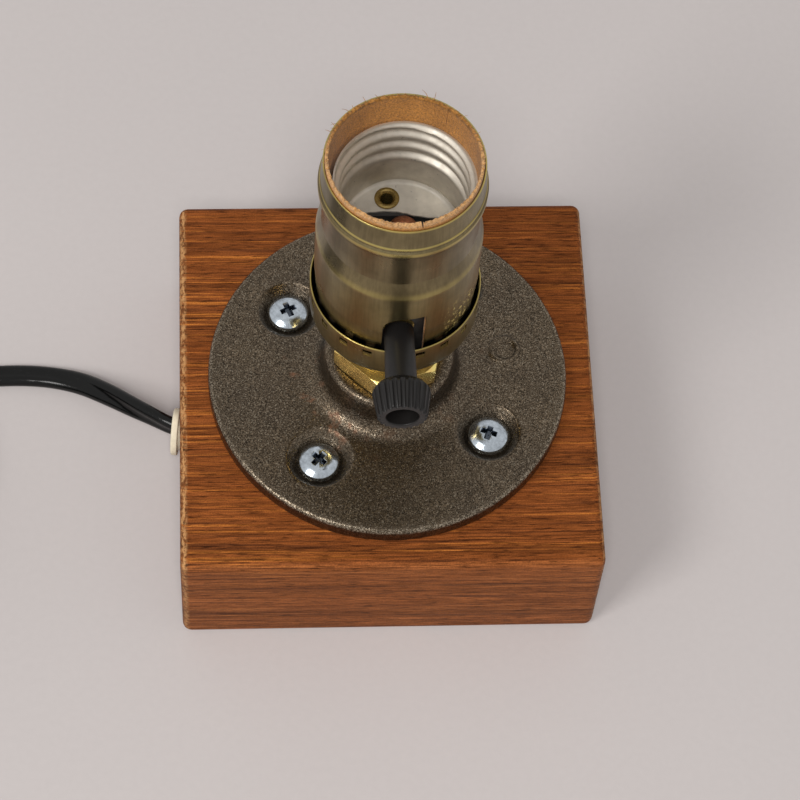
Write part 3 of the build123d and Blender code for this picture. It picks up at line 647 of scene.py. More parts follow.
def cast_iron(flange):
    """Sand-cast iron: a fine dark grain that glints, most at the rubbed rim, with some rust round the hub."""
    iron = Finish("cast_iron")
    grains = iron.noise(0.22 * MM, 2.0, 0.70)
    lumps = iron.noise(0.75 * MM, 2.0, 0.55)
    pick = iron.split(iron.cells(0.19 * MM))[0]
    clouds = iron.noise(10 * MM, 2.0)
    tone = iron.shades(grains, flange.iron, (0.34, 0.14), (0.50, 1.0), (0.66, 2.9))
    tone = iron.tint(tone, clouds, (0.3, (0.86, 0.86, 0.88)), (0.7, (1.12, 1.10, 1.06)), 0.9)
    tone = iron.tint(tone, lumps, (0.32, (0.80, 0.80, 0.80)), (0.68, (1.18, 1.18, 1.18)), 0.8)
    tone = iron.blend(iron.fade(pick, 0.86, 0.97, 0.0, 0.45), tone, flange.spark)
    x, _, z = iron.split()
    reach = iron.reach(iron.spread((1, 1, 0)))
    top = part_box("floor_flange")[0].z + flange.rim
    outer = iron.fade(reach, flange.radius - 1.1 * MM, flange.radius - 0.4 * MM)
    rim = iron.times(outer, iron.fade(z, top - 1.3 * MM, top - 0.6 * MM))
    tone = iron.blend(iron.times(rim, iron.fade(pick, 0.58, 0.78, 0.0, 0.58)), tone, flange.spark)
    spots = iron.fade(iron.noise(4.5 * MM, 3.0, 0.62), 0.55, 0.70)
    near = iron.band(reach, flange.hub_radius, flange.hub_radius + 7 * MM, 2 * MM)
    side = iron.fade(x, -14 * MM, 2 * MM, 0.80, 0.12)
    stain = iron.times(spots, near, side)
    tone = iron.blend(stain, tone, flange.rust)
    rough = iron.fade(grains, 0.3, 0.7, 0.42, 0.24)
    metal = iron.fade(stain, 0.0, 0.6, 0.95, 0.40)
    bump = iron.relief(lumps, 0.06 * MM)
    bump = iron.relief(grains, 0.045 * MM, bump)
    return iron.surface(colour=tone, metal=metal, rough=rough, bump=bump)


def zinc_plate(tone, flange=None):
    """Bright plating with drawing marks and dull spots, and painted shade, dark and bluish, in the cross
    recesses of the flange screws.
    """
    zinc = Finish("zinc_plate")
    dull = zinc.noise(1.1 * MM, 3.0, 0.6)
    marks = zinc.noise(0.35 * MM, 2.0, 0.5, zinc.spread((1.0, 0.25, 1.0)))
    shade = zinc.shades(dull, tone, (0.30, 0.72), (0.55, 1.0), (0.75, 1.22))
    if flange:
        # Painted shade: the deep part of each cross recess is made dark and bluish.
        x, y, z = zinc.split(zinc.spread(turn=(0, 0, math.pi / 4 - flange.first_screw)))
        half = flange.screw_circle * math.sqrt(0.5)
        across = zinc.maths("SUBTRACT", zinc.maths("ABSOLUTE", x), half)
        along = zinc.maths("SUBTRACT", zinc.maths("ABSOLUTE", y), half)
        away = zinc.reach(zinc.point(across, along, 0.0))
        crown = flange.dish_height + flange.head_height
        inside = zinc.fade(away, flange.recess, flange.recess + 0.3 * MM, 1.0, 0.0)
        deep = zinc.fade(z, crown - 0.75 * MM, crown - 0.35 * MM, 0.9, 0.0)
        shade = zinc.blend(zinc.times(inside, deep), shade, (0.035, 0.045, 0.065))
    rough = zinc.fade(dull, 0.3, 0.7, 0.27, 0.15)
    bump = zinc.relief(marks, 0.025 * MM)
    return zinc.surface(colour=shade, metal=1.0, rough=rough, bump=bump)


def turned_brass(tone, name="turned_brass"):
    """Bright brass with the fine rings that turning leaves."""
    brass = Finish(name)
    rings = brass.point(brass.reach(brass.spread((1, 1, 0))), brass.split()[2], 0.0)
    lines = brass.noise(0.28 * MM, 2.0, 0.6, rings)
    cloud = brass.noise(3.5 * MM, 2.0)
    shade = brass.shades(cloud, tone, (0.32, 0.70), (0.55, 1.0), (0.75, 1.15))
    shade = brass.tint(shade, lines, (0.35, (0.66, 0.62, 0.56)), (0.6, (1.1, 1.1, 1.1)), 0.5)
    rough = brass.fade(lines, 0.3, 0.7, 0.30, 0.18)
    bump = brass.relief(lines, 0.05 * MM)
    return brass.surface(colour=shade, metal=0.91, rough=rough, bump=bump)


def antique_brass(name, socket, gold_bands, lower_top, scuff_height, foot_shade_top=0.0):
    """Darkened brass, olive below, with bands of gold (low, high, soft, much), scuffs, and a foot painted
    near-black as painted shade inside the cap.
    """
    brass = Finish(name)
    x, y, z = brass.split()
    cloud = brass.noise(7 * MM, 3.0, 0.55)
    fine = brass.noise(0.30 * MM, 2.0, 0.5)
    drawn = brass.noise(0.55 * MM, 2.0, 0.55, brass.spread((1.0, 1.0, 0.06)))
    below = brass.fade(z, (lower_top - 5) * MM, (lower_top + 5) * MM, 1.0, 0.0)
    tone = brass.blend(below, socket.aged, socket.olive)
    tone = brass.tint(tone, cloud, (0.32, (0.80, 0.79, 0.76)), (0.68, (1.14, 1.14, 1.12)))
    tone = brass.tint(tone, drawn, (0.34, (0.80, 0.80, 0.80)), (0.66, (1.16, 1.16, 1.16)), 0.6)
    wear = 0.0
    for low, high, soft, much in gold_bands:
        here = brass.times(brass.band(z, low * MM, high * MM, soft * MM), much)
        wear = brass.maths("MAXIMUM", wear, here)
    worn = brass.times(wear, brass.fade(cloud, 0.25, 0.60, 0.55, 1.0))
    tone = brass.blend(worn, tone, socket.rubbed)
    nicks = brass.fade(brass.noise(0.9 * MM, 3.0, 0.7, brass.spread((1, 1, 0.7))), 0.55, 0.60)
    side = brass.fade(x, 7.5 * MM, 10.5 * MM)
    front = brass.fade(y, -9 * MM, -2 * MM, 1.0, 0.0)
    level = brass.band(z, (scuff_height - 7) * MM, (scuff_height + 5) * MM, 3 * MM)
    scuffs = brass.times(nicks, side, front, level)
    tone = brass.blend(brass.times(scuffs, 0.9), tone, scaled(socket.rubbed, 1.6))
    metal = brass.fade(scuffs, 0.1, 0.9, 1.0, 0.45)
    # Painted shade: below the given height the brass is made near-black, for the shade down inside the cap.
    foot_shade = brass.fade(z, (foot_shade_top - 1) * MM, foot_shade_top * MM, 0.93, 0.0)
    tone = brass.blend(foot_shade, tone, (0.012, 0.011, 0.010))
    rough = brass.fade(cloud, 0.3, 0.7, 0.34, 0.27)
    bump = brass.relief(fine, 0.012 * MM)
    bump = brass.relief(scuffs, 0.05 * MM, bump)
    return brass.surface(colour=tone, metal=metal, rough=rough, bump=bump)


def kraft_fibre(socket, edge_height):
    """Brown fibre board with short fibres, torn at its cut edge, with painted shade in a band under the rim
    at the back.
    """
    kraft = Finish("kraft_fibre")
    _, y, z = kraft.split()
    specks = kraft.noise(0.34 * MM, 3.0, 0.65)
    fibres = kraft.noise(0.55 * MM, 3.0, 0.6, kraft.spread((1.0, 1.0, 0.35)))
    cloud = kraft.noise(5 * MM, 2.0)
    tone = kraft.shades(specks, socket.fibre, (0.30, 0.48), (0.48, 1.0), (0.72, 1.5))
    tone = kraft.tint(tone, cloud, (0.3, (0.86, 0.84, 0.82)), (0.7, (1.12, 1.12, 1.10)))
    edge = kraft.fade(z, edge_height - 1.0 * MM, edge_height - 0.1 * MM)
    front = kraft.fade(y, -2 * MM, 9 * MM, 1.0, 0.25)
    ragged = kraft.times(edge, kraft.fade(fibres, 0.34, 0.52, 0.25, 1.0), front)
    torn = kraft.blend(kraft.fade(specks, 0.36, 0.56), scaled(socket.torn, 0.55), socket.torn)
    tone = kraft.blend(ragged, tone, torn)
    # Painted shade: a darker band just under the rim at the back.
    upper = kraft.fade(z, edge_height - 1.7 * MM, edge_height - 1.1 * MM)
    back = kraft.fade(y, 2 * MM, 8 * MM)
    back_shade = kraft.times(upper, back, kraft.fade(fibres, 0.3, 0.6, 0.9, 0.3))
    tone = kraft.blend(back_shade, tone, scaled(socket.fibre, 0.35))
    bump = kraft.relief(fibres, 0.22 * MM)
    bump = kraft.relief(specks, 0.10 * MM, bump)
    return kraft.surface(colour=tone, rough=0.88, bump=bump, gloss=0.2, sheen=0.15)


def rolled_aluminium(name, tone, metal):
    """Rolled sheet with rolling lines round it and dull specks; the less metal, the chalkier."""
    sheet = Finish(name)
    lines = sheet.noise(0.30 * MM, 2.0, 0.6, sheet.spread((0.06, 0.06, 1.0)))
    dull = sheet.noise(2.2 * MM, 3.0, 0.6)
    spots = sheet.fade(sheet.noise(0.6 * MM, 1.0), 0.72, 0.80)
    shade = sheet.shades(dull, tone, (0.30, 0.92), (0.70, 1.06))
    shade = sheet.blend(sheet.times(spots, 0.5), shade, scaled(tone, 0.35))
    rough = sheet.fade(dull, 0.3, 0.7, 0.60, 0.50)
    bump = sheet.relief(lines, 0.012 * MM)
    bump = sheet.relief(dull, 0.02 * MM, bump, 0.5)
    return sheet.surface(colour=shade, metal=metal, rough=rough, bump=bump)


def bare_copper(tone):
    """Copper with dull patches."""
    copper = Finish("bare_copper")
    dull = copper.noise(0.9 * MM, 3.0, 0.6)
    shade = copper.shades(dull, tone, (0.32, 0.55), (0.6, 1.0), (0.8, 1.25))
    rough = copper.fade(dull, 0.3, 0.7, 0.5, 0.32)
    bump = copper.relief(dull, 0.03 * MM)
    return copper.surface(colour=shade, metal=1.0, rough=rough, bump=bump)


def moulding(name, tone, rough, grain=0.35, depth=0.03, shine=0.5):
    """Moulded plastic with a fine skin and faint handling marks."""
    plastic = Finish(name)
    skin = plastic.noise(grain * MM, 2.0, 0.5)
    cloud = plastic.noise(4 * MM, 3.0, 0.6)
    shade = plastic.shades(cloud, tone, (0.3, 0.82), (0.7, 1.2))
    gloss = plastic.fade(cloud, 0.3, 0.7, rough + 0.06, rough - 0.04)
    bump = plastic.relief(skin, depth * MM)
    return plastic.surface(colour=shade, rough=gloss, bump=bump, gloss=shine)


def cord_vinyl(tone):
    """Soft glossy vinyl with slight waves and dust."""
    vinyl = Finish("cord_vinyl")
    waves = vinyl.noise(3.0 * MM, 2.0)
    dust = vinyl.fade(vinyl.noise(0.5 * MM, 2.0, 0.6), 0.62, 0.78)
    shade = vinyl.shades(waves, tone, (0.3, 0.8), (0.7, 1.3))
    shade = vinyl.blend(vinyl.times(dust, 0.03), shade, (0.30, 0.29, 0.28))
    rough = vinyl.fade(waves, 0.3, 0.7, 0.21, 0.16)
    bump = vinyl.relief(waves, 0.10 * MM)
    bump = vinyl.relief(dust, 0.01 * MM, bump)
    return vinyl.surface(colour=shade, rough=rough, bump=bump, gloss=0.27)


def table_top(tone):
    """Pale paper table top, nearly plain."""
    paper = Finish("table_top")
    cloud = paper.noise(120 * MM, 2.0)
    fleck = paper.noise(1.6 * MM, 2.0)
    shade = paper.shades(cloud, tone, (0.3, 0.985), (0.7, 1.015))
    shade = paper.tint(shade, fleck, (0.3, (0.97, 0.97, 0.97)), (0.7, (1.03, 1.03, 1.03)), 0.35)
    return paper.surface(colour=shade, rough=0.75, bump=paper.relief(fleck, 0.02 * MM), gloss=0.25)


class LAMP_OT_stage(bpy.types.Operator):
    """Lay the table top, hang the lights and set up the camera"""

    bl_idname = "lamp.stage"
    bl_label = "Stage"
    bl_options = {"REGISTER", "UNDO"}

    def execute(self, context):
        stage = context.scene.lamp_stage
        context.scene.view_settings.view_transform = "Standard"
        self.floor(stage)
        self.room(context, stage)
        self.soft_light(stage, "key")
        self.soft_light(stage, "front").visible_glossy = False
        self.camera(context, stage)
        return {"FINISHED"}

    def floor(self, stage):
        """Wide table top."""
        deselect()
        bpy.ops.mesh.primitive_plane_add(size=12.0)
        floor = named("table_top")
        with editing(floor):
            bpy.ops.mesh.subdivide(number_cuts=4)
        floor.data.materials.append(table_top(stage.floor))

    def room(self, context, stage):
        """Even light from all round, and the paler room that shows in metal."""
        world = bpy.data.worlds.new("room")
        world.use_nodes = True
        nodes = world.node_tree.nodes
        links = world.node_tree.links
        rays = nodes.new("ShaderNodeLightPath")
        seen = nodes.new("ShaderNodeMath")
        seen.operation = "MAXIMUM"
        links.new(rays.outputs["Is Camera Ray"], seen.inputs[0])
        links.new(rays.outputs["Is Glossy Ray"], seen.inputs[1])
        mix = nodes.new("ShaderNodeMixShader")
        links.new(seen.outputs[0], mix.inputs[0])
        air = nodes["Background"]
        pale = nodes.new("ShaderNodeBackground")
        for place, (shade, strength) in enumerate(((air, stage.sky_light), (pale, stage.sky_seen))):
            shade.inputs["Color"].default_value = (*stage.sky, 1.0)
            shade.inputs["Strength"].default_value = strength
            links.new(shade.outputs[0], mix.inputs[1 + place])
        links.new(mix.outputs[0], nodes["World Output"].inputs["Surface"])
        context.scene.world = world

    def soft_light(self, stage, name):
        """Softbox of that name in the settings, which faces the lamp."""
        place = getattr(stage, name)
        way = Vector(stage.aim) - Vector(place)
        facing = way.to_track_quat("-Z", "Y").to_euler()
        bpy.ops.object.light_add(type="AREA", location=place, rotation=facing)
        light = named(name + "_light")
        light.data.shape = "RECTANGLE"
        light.data.size = getattr(stage, name + "_side")
        light.data.size_y = light.data.size
        light.data.energy = getattr(stage, name + "_power")
        light.data.color = getattr(stage, name + "_tone")
        return light

    def camera(self, context, stage):
        """Camera above the front, a little to the left."""
        right = Vector(stage.right).normalized()
        ahead = Vector(stage.ahead)
        ahead = (ahead - right * ahead.dot(right)).normalized()
        up = right.cross(ahead)
        bpy.ops.object.camera_add()
        camera = named("camera")
        turn = Matrix((right, up, -ahead)).transposed().to_4x4()
        camera.matrix_world = moved(stage.camera) @ turn
        camera.data.lens = stage.lens
        camera.data.sensor_width = 36.0
        camera.data.shift_x = 0.0157
        camera.data.shift_y = -0.0313
        camera.data.clip_start = 0.01
        camera.data.clip_end = 100.0
        context.scene.camera = camera


def coil_route(cord):
    """Points round the coil: it spirals in and out, and climbs a layer where the spiral reverses."""
    floor = 2.3 * MM
    turns = 2.125
    climb = 0.5
    swing = turns + climb
    layers = 4
    steps_per_turn = 20
    bulge = 0.6 * MM
    travel = cord.coil_radius - cord.coil_inner
    total = layers * turns + (layers - 1) * climb
    steps = round(total * steps_per_turn)
    points = []
    for number in range(steps + 1):
        turn = total * number / steps
        layer = min(int(turn / swing), layers - 1)
        within = turn - layer * swing
        share = min(within / turns, 1.0)
        inward = layer % 2 == 0
        radius = cord.coil_radius - travel * share if inward else cord.coil_inner + travel * share
        rise = 0.0
        if within > turns:
            past = (within - turns) / climb
            rise = ease(past)
            radius += bulge * math.sin(math.pi * past) * (-1 if inward else 1)
        way = math.pi / 2 + math.tau * turn
        height = floor + (layer + rise) * cord.coil_step
        points.append(COIL_MIDDLE + Vector((radius * math.cos(way), radius * math.sin(way), height)))
    return points


def cord_route(cord):
    """Control points of the cord from inside the grommet to the plug's strain relief."""
    free = [
        (-40.5, -0.6, 9.2),
        (-45.475, 1.2, 9.2),
        (-49.056, 3.5, 8.9),
        (-54.0, 6.8, 7.8),
        (-59.5, 11.1, 5.8),
        (-66.5, 16.0, 2.9),
        (-76.5, 18.5, 1.5),
        (-88.0, 18.2, 1.45),
        (-99.0, 18.9, 1.6),
        (-110.1, 20.44, 2.2),
        (-121.1, 20.4375, 2.3),
    ]
    tail = [
        (-128.9, 20.4375, 11.3),
        (-136.9, 20.4375, 11.3),
        (-147.4, 21.64, 9.9),
        (-159.9, 21.64, 8.0),
        (-166.9, 20.44, 7.6),
        (-175.5, 20.4375, 7.6),
    ]
    before = [Vector(point) * MM for point in free]
    after = [Vector(point) * MM for point in tail]
    return before + coil_route(cord) + after


def smooth_line(name, points):
    """Points along the smooth spline that the given control points make."""
    curve = bpy.data.curves.new(name, "CURVE")
    curve.dimensions = "3D"
    spline = curve.splines.new("NURBS")
    spline.points.add(len(points) - 1)
    for knot, point in zip(spline.points, points):
        knot.co = (*point, 1.0)
    spline.order_u = 3
    spline.use_endpoint_u = True
    spline.resolution_u = 6
    line = bpy.data.objects.new(name, curve)
    bpy.context.scene.collection.objects.link(line)
    bpy.context.view_layer.update()
    mesh = bpy.data.meshes.new_from_object(line)
    found = [vertex.co.copy() for vertex in mesh.vertices]
    bpy.data.objects.remove(line, do_unlink=True)
    bpy.data.curves.remove(curve)
    bpy.data.meshes.remove(mesh)
    return found


def twin_section(cord):
    """Outline of the flat twin cord: two round cores with a groove between them."""
    half = cord.thickness / 2
    core = cord.width / 2 - half
    web = 0.86 * half
    arc = 252
    steps = 12
    outline = []
    for side in (1, -1):
        for step in range(steps + 1):
            way = math.radians(arc) * (step / steps - 0.5)
            across = side * (core + half * math.cos(way))
            outline.append((across, side * half * math.sin(way)))
        outline.append((0.0, side * web))
    return outline


class LAMP_OT_cord(bpy.types.Operator):
    """Lay the flat cord from the grommet to its coil and on to the plug"""

    bl_idname = "lamp.cord"
    bl_label = "Cord"
    bl_options = {"REGISTER", "UNDO"}

    def execute(self, context):
        cord = context.scene.lamp_cord
        line = smooth_line("cord_line", cord_route(cord))
        section = twin_section(cord)
        lying = -74.0
        on_edge = -44.0
        vertices = []
        for number, point in enumerate(line):
            ahead = line[min(number + 1, len(line) - 1)] - line[max(number - 1, 0)]
            ahead.normalize()
            up = (UPRIGHT - ahead * UPRIGHT.dot(ahead)).normalized()
            side = ahead.cross(up)
            roll = math.pi / 2 * ease((point.x / MM - lying) / (on_edge - lying))
            wide = side * math.cos(roll) + up * math.sin(roll)
            flat = wide.cross(ahead)
            for across, high in section:
                vertices.append(point + wide * across + flat * high)
        piece = self.tube(vertices, len(line), len(section))
        finish = cord_vinyl(cord.vinyl)
        dress(piece, finish, "lamp", "cord_vinyl", "cord_free", "cord_coil", "cord_tail", sharp=60)
        return {"FINISHED"}

    def tube(self, vertices, rings, around):
        """Closed skin over rings of points."""
        faces = []
        for ring in range(rings - 1):
            for step in range(around):
                here = ring * around + step
                beside = ring * around + (step + 1) % around
                faces.append((here, beside, beside + around, here + around))
        faces.append(tuple(reversed(range(around))))
        faces.append(tuple(range((rings - 1) * around, rings * around)))
        mesh = bpy.data.meshes.new("flat_cord")
        mesh.from_pydata(vertices, [], faces)
        piece = bpy.data.objects.new("flat_cord", mesh)
        bpy.context.scene.collection.objects.link(piece)
        return face_out(piece)


class LAMP_OT_plug(bpy.types.Operator):
    """Make the plug, its blades and strain relief, and the strap round the coil"""

    bl_idname = "lamp.plug"
    bl_label = "Plug and tie"
    bl_options = {"REGISTER", "UNDO"}

    def execute(self, context):
        cord = context.scene.lamp_cord
        black = moulding("plug_vinyl", scaled(cord.vinyl, 3.5), 0.42)
        dress(self.body(cord), black, "lamp", "plug_vinyl", "power_plug")
        dress(self.relief(), black, "lamp", "plug_vinyl", "plug_relief")
        metal = turned_brass(context.scene.lamp_socket.brass, "blade_brass")
        dress(self.blades(), metal, "lamp", "turned_brass", "plug_blades")
        soft = moulding("tie_plastic", (0.03, 0.03, 0.03), 0.5)
        dress(self.tie(), soft, "lamp", "tie_plastic", "coil_tie")
        return {"FINISHED"}

    def body(self, cord):
        """Plug body with round edges and grip grooves."""
        low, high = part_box("power_plug")
        size = high - low
        middle = (low + high) / 2
        body = round_off(brick("plug_body", size, middle), cord.plug_round)
        spacing = 3.0 * MM
        groove = brick("groove", (1.3 * MM, 1.4 * MM, size.z * 0.62), (0, 0, 0))
        places = []
        for step in range(4):
            for side in (-1, 1):
                place = (middle.x + (step - 0.8) * spacing, middle.y + side * size.y / 2, middle.z)
                places.append(moved(place))
        carve(body, repeat(groove, places))
        return soften(body, 0.22 * MM)

    def relief(self):
        """Tapered strain relief with cut rings."""
        low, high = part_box("plug_relief")
        reach = (high.x - low.x) / MM
        rings = 5
        spacing = 3.5
        corners = [(0.0, 0.0, 0), (2.7, 0.0, 0.4)]
        for step in range(rings):
            start = 3.0 + step * spacing
            radius = 2.8 + 1.75 * start / reach
            corners += [(radius, start, 0.2), (radius - 0.75, start + 0.35, 0.2)]
            corners += [(radius - 0.70, start + 1.45, 0.2), (radius + 0.12, start + 1.8, 0.2)]
        corners += [(4.6, reach, 0.3), (0.0, reach, 0)]
        cone = lathe("strain_relief", rounded(corners), 48)
        middle = (low + high) / 2
        tip = moved((high.x, middle.y, middle.z))
        return seat(cone, tip @ turned(-math.pi / 2, "Y"))

    def blades(self):
        """Two flat blades with a hole near the end."""
        low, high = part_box("plug_blades")
        middle = (low + high) / 2
        thick = 1.5 * MM
        blade = brick("blade_pair", (high.x - low.x, thick, high.z - low.z), (0, 0, 0))
        hole = rod("hole", 1.5 * MM, -2 * MM, 2 * MM, 32)
        seat(hole, moved((-4.2 * MM, 0, 0)) @ turned(math.pi / 2, "X"))
        carve(blade, hole)
        soften(blade, 0.35 * MM, 3)
        sides = [low.y + thick / 2, high.y - thick / 2]
        return repeat(blade, [moved((middle.x, side, middle.z)) for side in sides])

    def tie(self):
        """Strap round the bundle with its small lock."""
        way = math.radians(205)
        wall = 0.7
        top = 12.9
        bundle = [(17.2, 1.9), (17.2, 5.0), (18.2, 9.8), (20.2, top), (30.7, top)]
        bundle += [(33.8, 9.9), (33.8, 6.8), (32.6, wall), (21.5, wall)]
        middle = Vector((25.5, 6.8))
        outer = []
        for across, height in bundle:
            out = (Vector((across, height)) - middle).normalized() * wall * 1.25
            outer.append((across + out.x, max(height + out.y, 0.0), 1.6))
        inner = [(across, height, 1.2) for across, height in bundle]
        strap = slab("strap_tie", rounded(outer, closed=True), 3.0 * MM)
        carve(strap, slab("hole", rounded(inner, closed=True), 6.0 * MM))
        soften(strap, 0.15 * MM)
        lock = brick("lock", (3.6 * MM, 7.4 * MM, 2.6 * MM), (25.0 * MM, 0, (top + 1.2) * MM))
        soften(lock, 0.5 * MM, 3)
        end = brick("end", (9.0 * MM, 5.4 * MM, 0.7 * MM), (20.6 * MM, 0, (top + 1.5) * MM))
        soften(end, 0.2 * MM)
        return seat(join([strap, lock, end]), moved(COIL_MIDDLE) @ turned(way, "Z"))


class LAMP_OT_block(bpy.types.Operator):
    """Make the wood block with its round edges, wire well and cord bore"""

    bl_idname = "lamp.block"
    bl_label = "Wood block"
    bl_options = {"REGISTER", "UNDO"}

    def execute(self, context):
        block = context.scene.lamp_block
        low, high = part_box("wood_base")
        piece = round_off(brick("wood_block", high - low, (low + high) / 2), block.edge_round)
        carve(piece, rod("well", block.well_radius, block.well_floor, high.z + MM, 48))
        bore = rod("bore", block.bore_radius, 0, high.x + MM, 48)
        seat(bore, moved((0, 0, block.bore_height)) @ turned(-math.pi / 2, "Y"))
        carve(piece, bore)
        dress(piece, stained_wood(block), "lamp", "stained_wood", "wood_base", sharp=25)
        return {"FINISHED"}


class LAMP_OT_flange(bpy.types.Operator):
    """Cast the floor flange with its hub and the dishes round the screws"""

    bl_idname = "lamp.flange"
    bl_label = "Cast flange"
    bl_options = {"REGISTER", "UNDO"}

    def execute(self, context):
        flange = context.scene.lamp_flange
        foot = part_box("wood_base")[1].z / MM
        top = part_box("floor_flange")[1].z / MM
        rim = foot + flange.rim / MM
        disc = rim + flange.rise / MM
        hub = flange.hub_radius / MM
        bore = flange.bore / MM
        section = [
            (bore, foot, 0.2),
            (flange.radius / MM, foot, 0.3),
            (flange.radius / MM, rim, 1.1),
            (hub, disc, flange.foot_round / MM),
            (hub - flange.hub_draft / MM, top, 1.6),
            (bore, top, 0.4),
        ]
        piece = lathe("cast_flange", rounded(section, closed=True), 144)
        carve(piece, repeat(self.dish(flange, disc), screw_places(flange)))
        carve(piece, self.cast_ring(rim), "UNION")
        modify(piece, "REMESH", mode="VOXEL", voxel_size=flange.skin)
        modify(piece, "SMOOTH", factor=0.5, iterations=2)
        self.ripple(piece, "sand", 1.0 * MM, 0.06 * MM)
        self.ripple(piece, "waves", 9.0 * MM, 0.12 * MM)
        dress(piece, cast_iron(flange), "lamp", "cast_iron", "floor_flange", sharp=180)
        return {"FINISHED"}

    def dish(self, flange, disc):
        """Tool for a dish with its screw hole."""
        low = flange.dish_height / MM
        wide = flange.dish_floor / MM
        mouth = flange.dish_radius / MM
        high = disc + 2
        flare = mouth + (mouth - wide) / (disc - low) * 2
        hole = 2.6
        tool = [(0, low - 8, 0), (hole, low - 8, 0), (hole, low, 0)]
        tool += [(wide, low, 0.5), (flare, high, 0), (0, high, 0)]
        return lathe("dish", rounded(tool), 48)

    def cast_ring(self, rim):
        """Faint plain ring that stands on the disc."""
        section = [(2.2, -1.0, 0), (3.4, -1.0, 0), (3.2, 1.15, 0.2), (2.4, 1.15, 0.2)]
        ring = lathe("ring", rounded(section, closed=True), 48)
        return seat(ring, moved(Vector((24.7, 4.3, rim)) * MM))

    def ripple(self, piece, name, size, much):
        """Small rises and falls of the skin."""
        clouds = bpy.data.textures.new(name, "CLOUDS")
        clouds.noise_scale = size
        clouds.noise_depth = 1
        modify(piece, "DISPLACE", texture=clouds, strength=much, mid_level=0.5, texture_coords="LOCAL")
        bpy.data.textures.remove(clouds)


class LAMP_OT_screws(bpy.types.Operator):
    """Make the cross head screws of the flange"""

    bl_idname = "lamp.screws"
    bl_label = "Flange screws"
    bl_options = {"REGISTER", "UNDO"}

    def execute(self, context):
        flange = context.scene.lamp_flange
        floor = flange.dish_height / MM
        head = flange.head_radius / MM
        crown = floor + flange.head_height / MM
        shank = 1.75
        shape = [
            (0, floor - 16.0, 0),
            (shank, floor - 12.5, 0.5),
            (shank, floor, 0),
            (head, floor, 0.25),
            (head, crown - 1.35, 0.7),
            (head * 0.62, crown - 0.30, 2.5),
            (0, crown, 0),
        ]
        screw = lathe("cross_head_screws", rounded(shape), 56)
        carve(screw, self.cross(flange, crown))
        soften(screw, 0.10 * MM, 2, 40)
        piece = repeat(screw, screw_places(flange))
        dress(piece, zinc_plate(flange.zinc, flange), "lamp", "zinc_steel", "flange_screws")
        return {"FINISHED"}

    def cross(self, flange, crown):
        """Tool for the cross recess: two arms that narrow downwards round a pointed middle."""
        arms = []
        for turn in (0, math.pi / 2):
            arm = brick("arm", (2.5 * flange.recess, 1.6 * MM, 3.4 * MM), (0, 0, 0))
            for vertex in arm.data.vertices:
                if vertex.co.z < 0:
                    vertex.co.x *= 0.35
                    vertex.co.y *= 0.55
            arms.append(seat(arm, moved((0, 0, crown * MM)) @ turned(turn, "Z")))
        tool = carve(arms[0], arms[1], "UNION")
        point = [(0, crown - 2.0, 0), (1.15, crown + 0.6, 0), (0, crown + 0.6, 0)]
        return carve(tool, lathe("middle", rounded(point), 24), "UNION")


class LAMP_OT_bushing(bpy.types.Operator):
    """Turn the brass hex bushing"""

    bl_idname = "lamp.bushing"
    bl_label = "Hex bushing"
    bl_options = {"REGISTER", "UNDO"}

    def execute(self, context):
        socket = context.scene.lamp_socket
        hex_height = 5.7 * MM
        bore_radius = 5.05 * MM
        barrel_radius = 10.3
        overlap = 0.5
        corner_cut = 1.0
        chamfer = 0.65
        low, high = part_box("hex_bushing")
        foot = high.z - hex_height
        corner = socket.hex_flats / math.sqrt(3)
        deselect()
        bpy.ops.mesh.primitive_cylinder_add(vertices=6, radius=corner, depth=high.z - foot)
        piece = named("brass_hexagon")
        turn = turned(socket.hex_turn - math.pi / 2, "Z")
        seat(piece, moved((0, 0, (high.z + foot) / 2)) @ turn)
        wide = corner / MM
        base, top = foot / MM, high.z / MM
        limit = [
            (0, base, 0),
            (wide - corner_cut, base, 0),
            (wide + 0.1, base + chamfer, 0),
            (wide + 0.1, top - chamfer, 0),
            (wide - corner_cut, top, 0),
            (0, top, 0),
        ]
        carve(piece, lathe("limit", rounded(limit), 96), "INTERSECT")
        barrel = [(0, low.z / MM, 0), (barrel_radius, low.z / MM, 0.8)]
        barrel += [(barrel_radius, base + overlap, 0), (0, base + overlap, 0)]
        carve(piece, lathe("barrel", rounded(barrel), 64), "UNION")
        carve(piece, rod("bore", bore_radius, low.z - MM, high.z + MM, 48))
        soften(piece, 0.16 * MM, 2, 24)
        dress(piece, turned_brass(socket.brass), "lamp", "turned_brass", "hex_bushing", sharp=20)
        return {"FINISHED"}


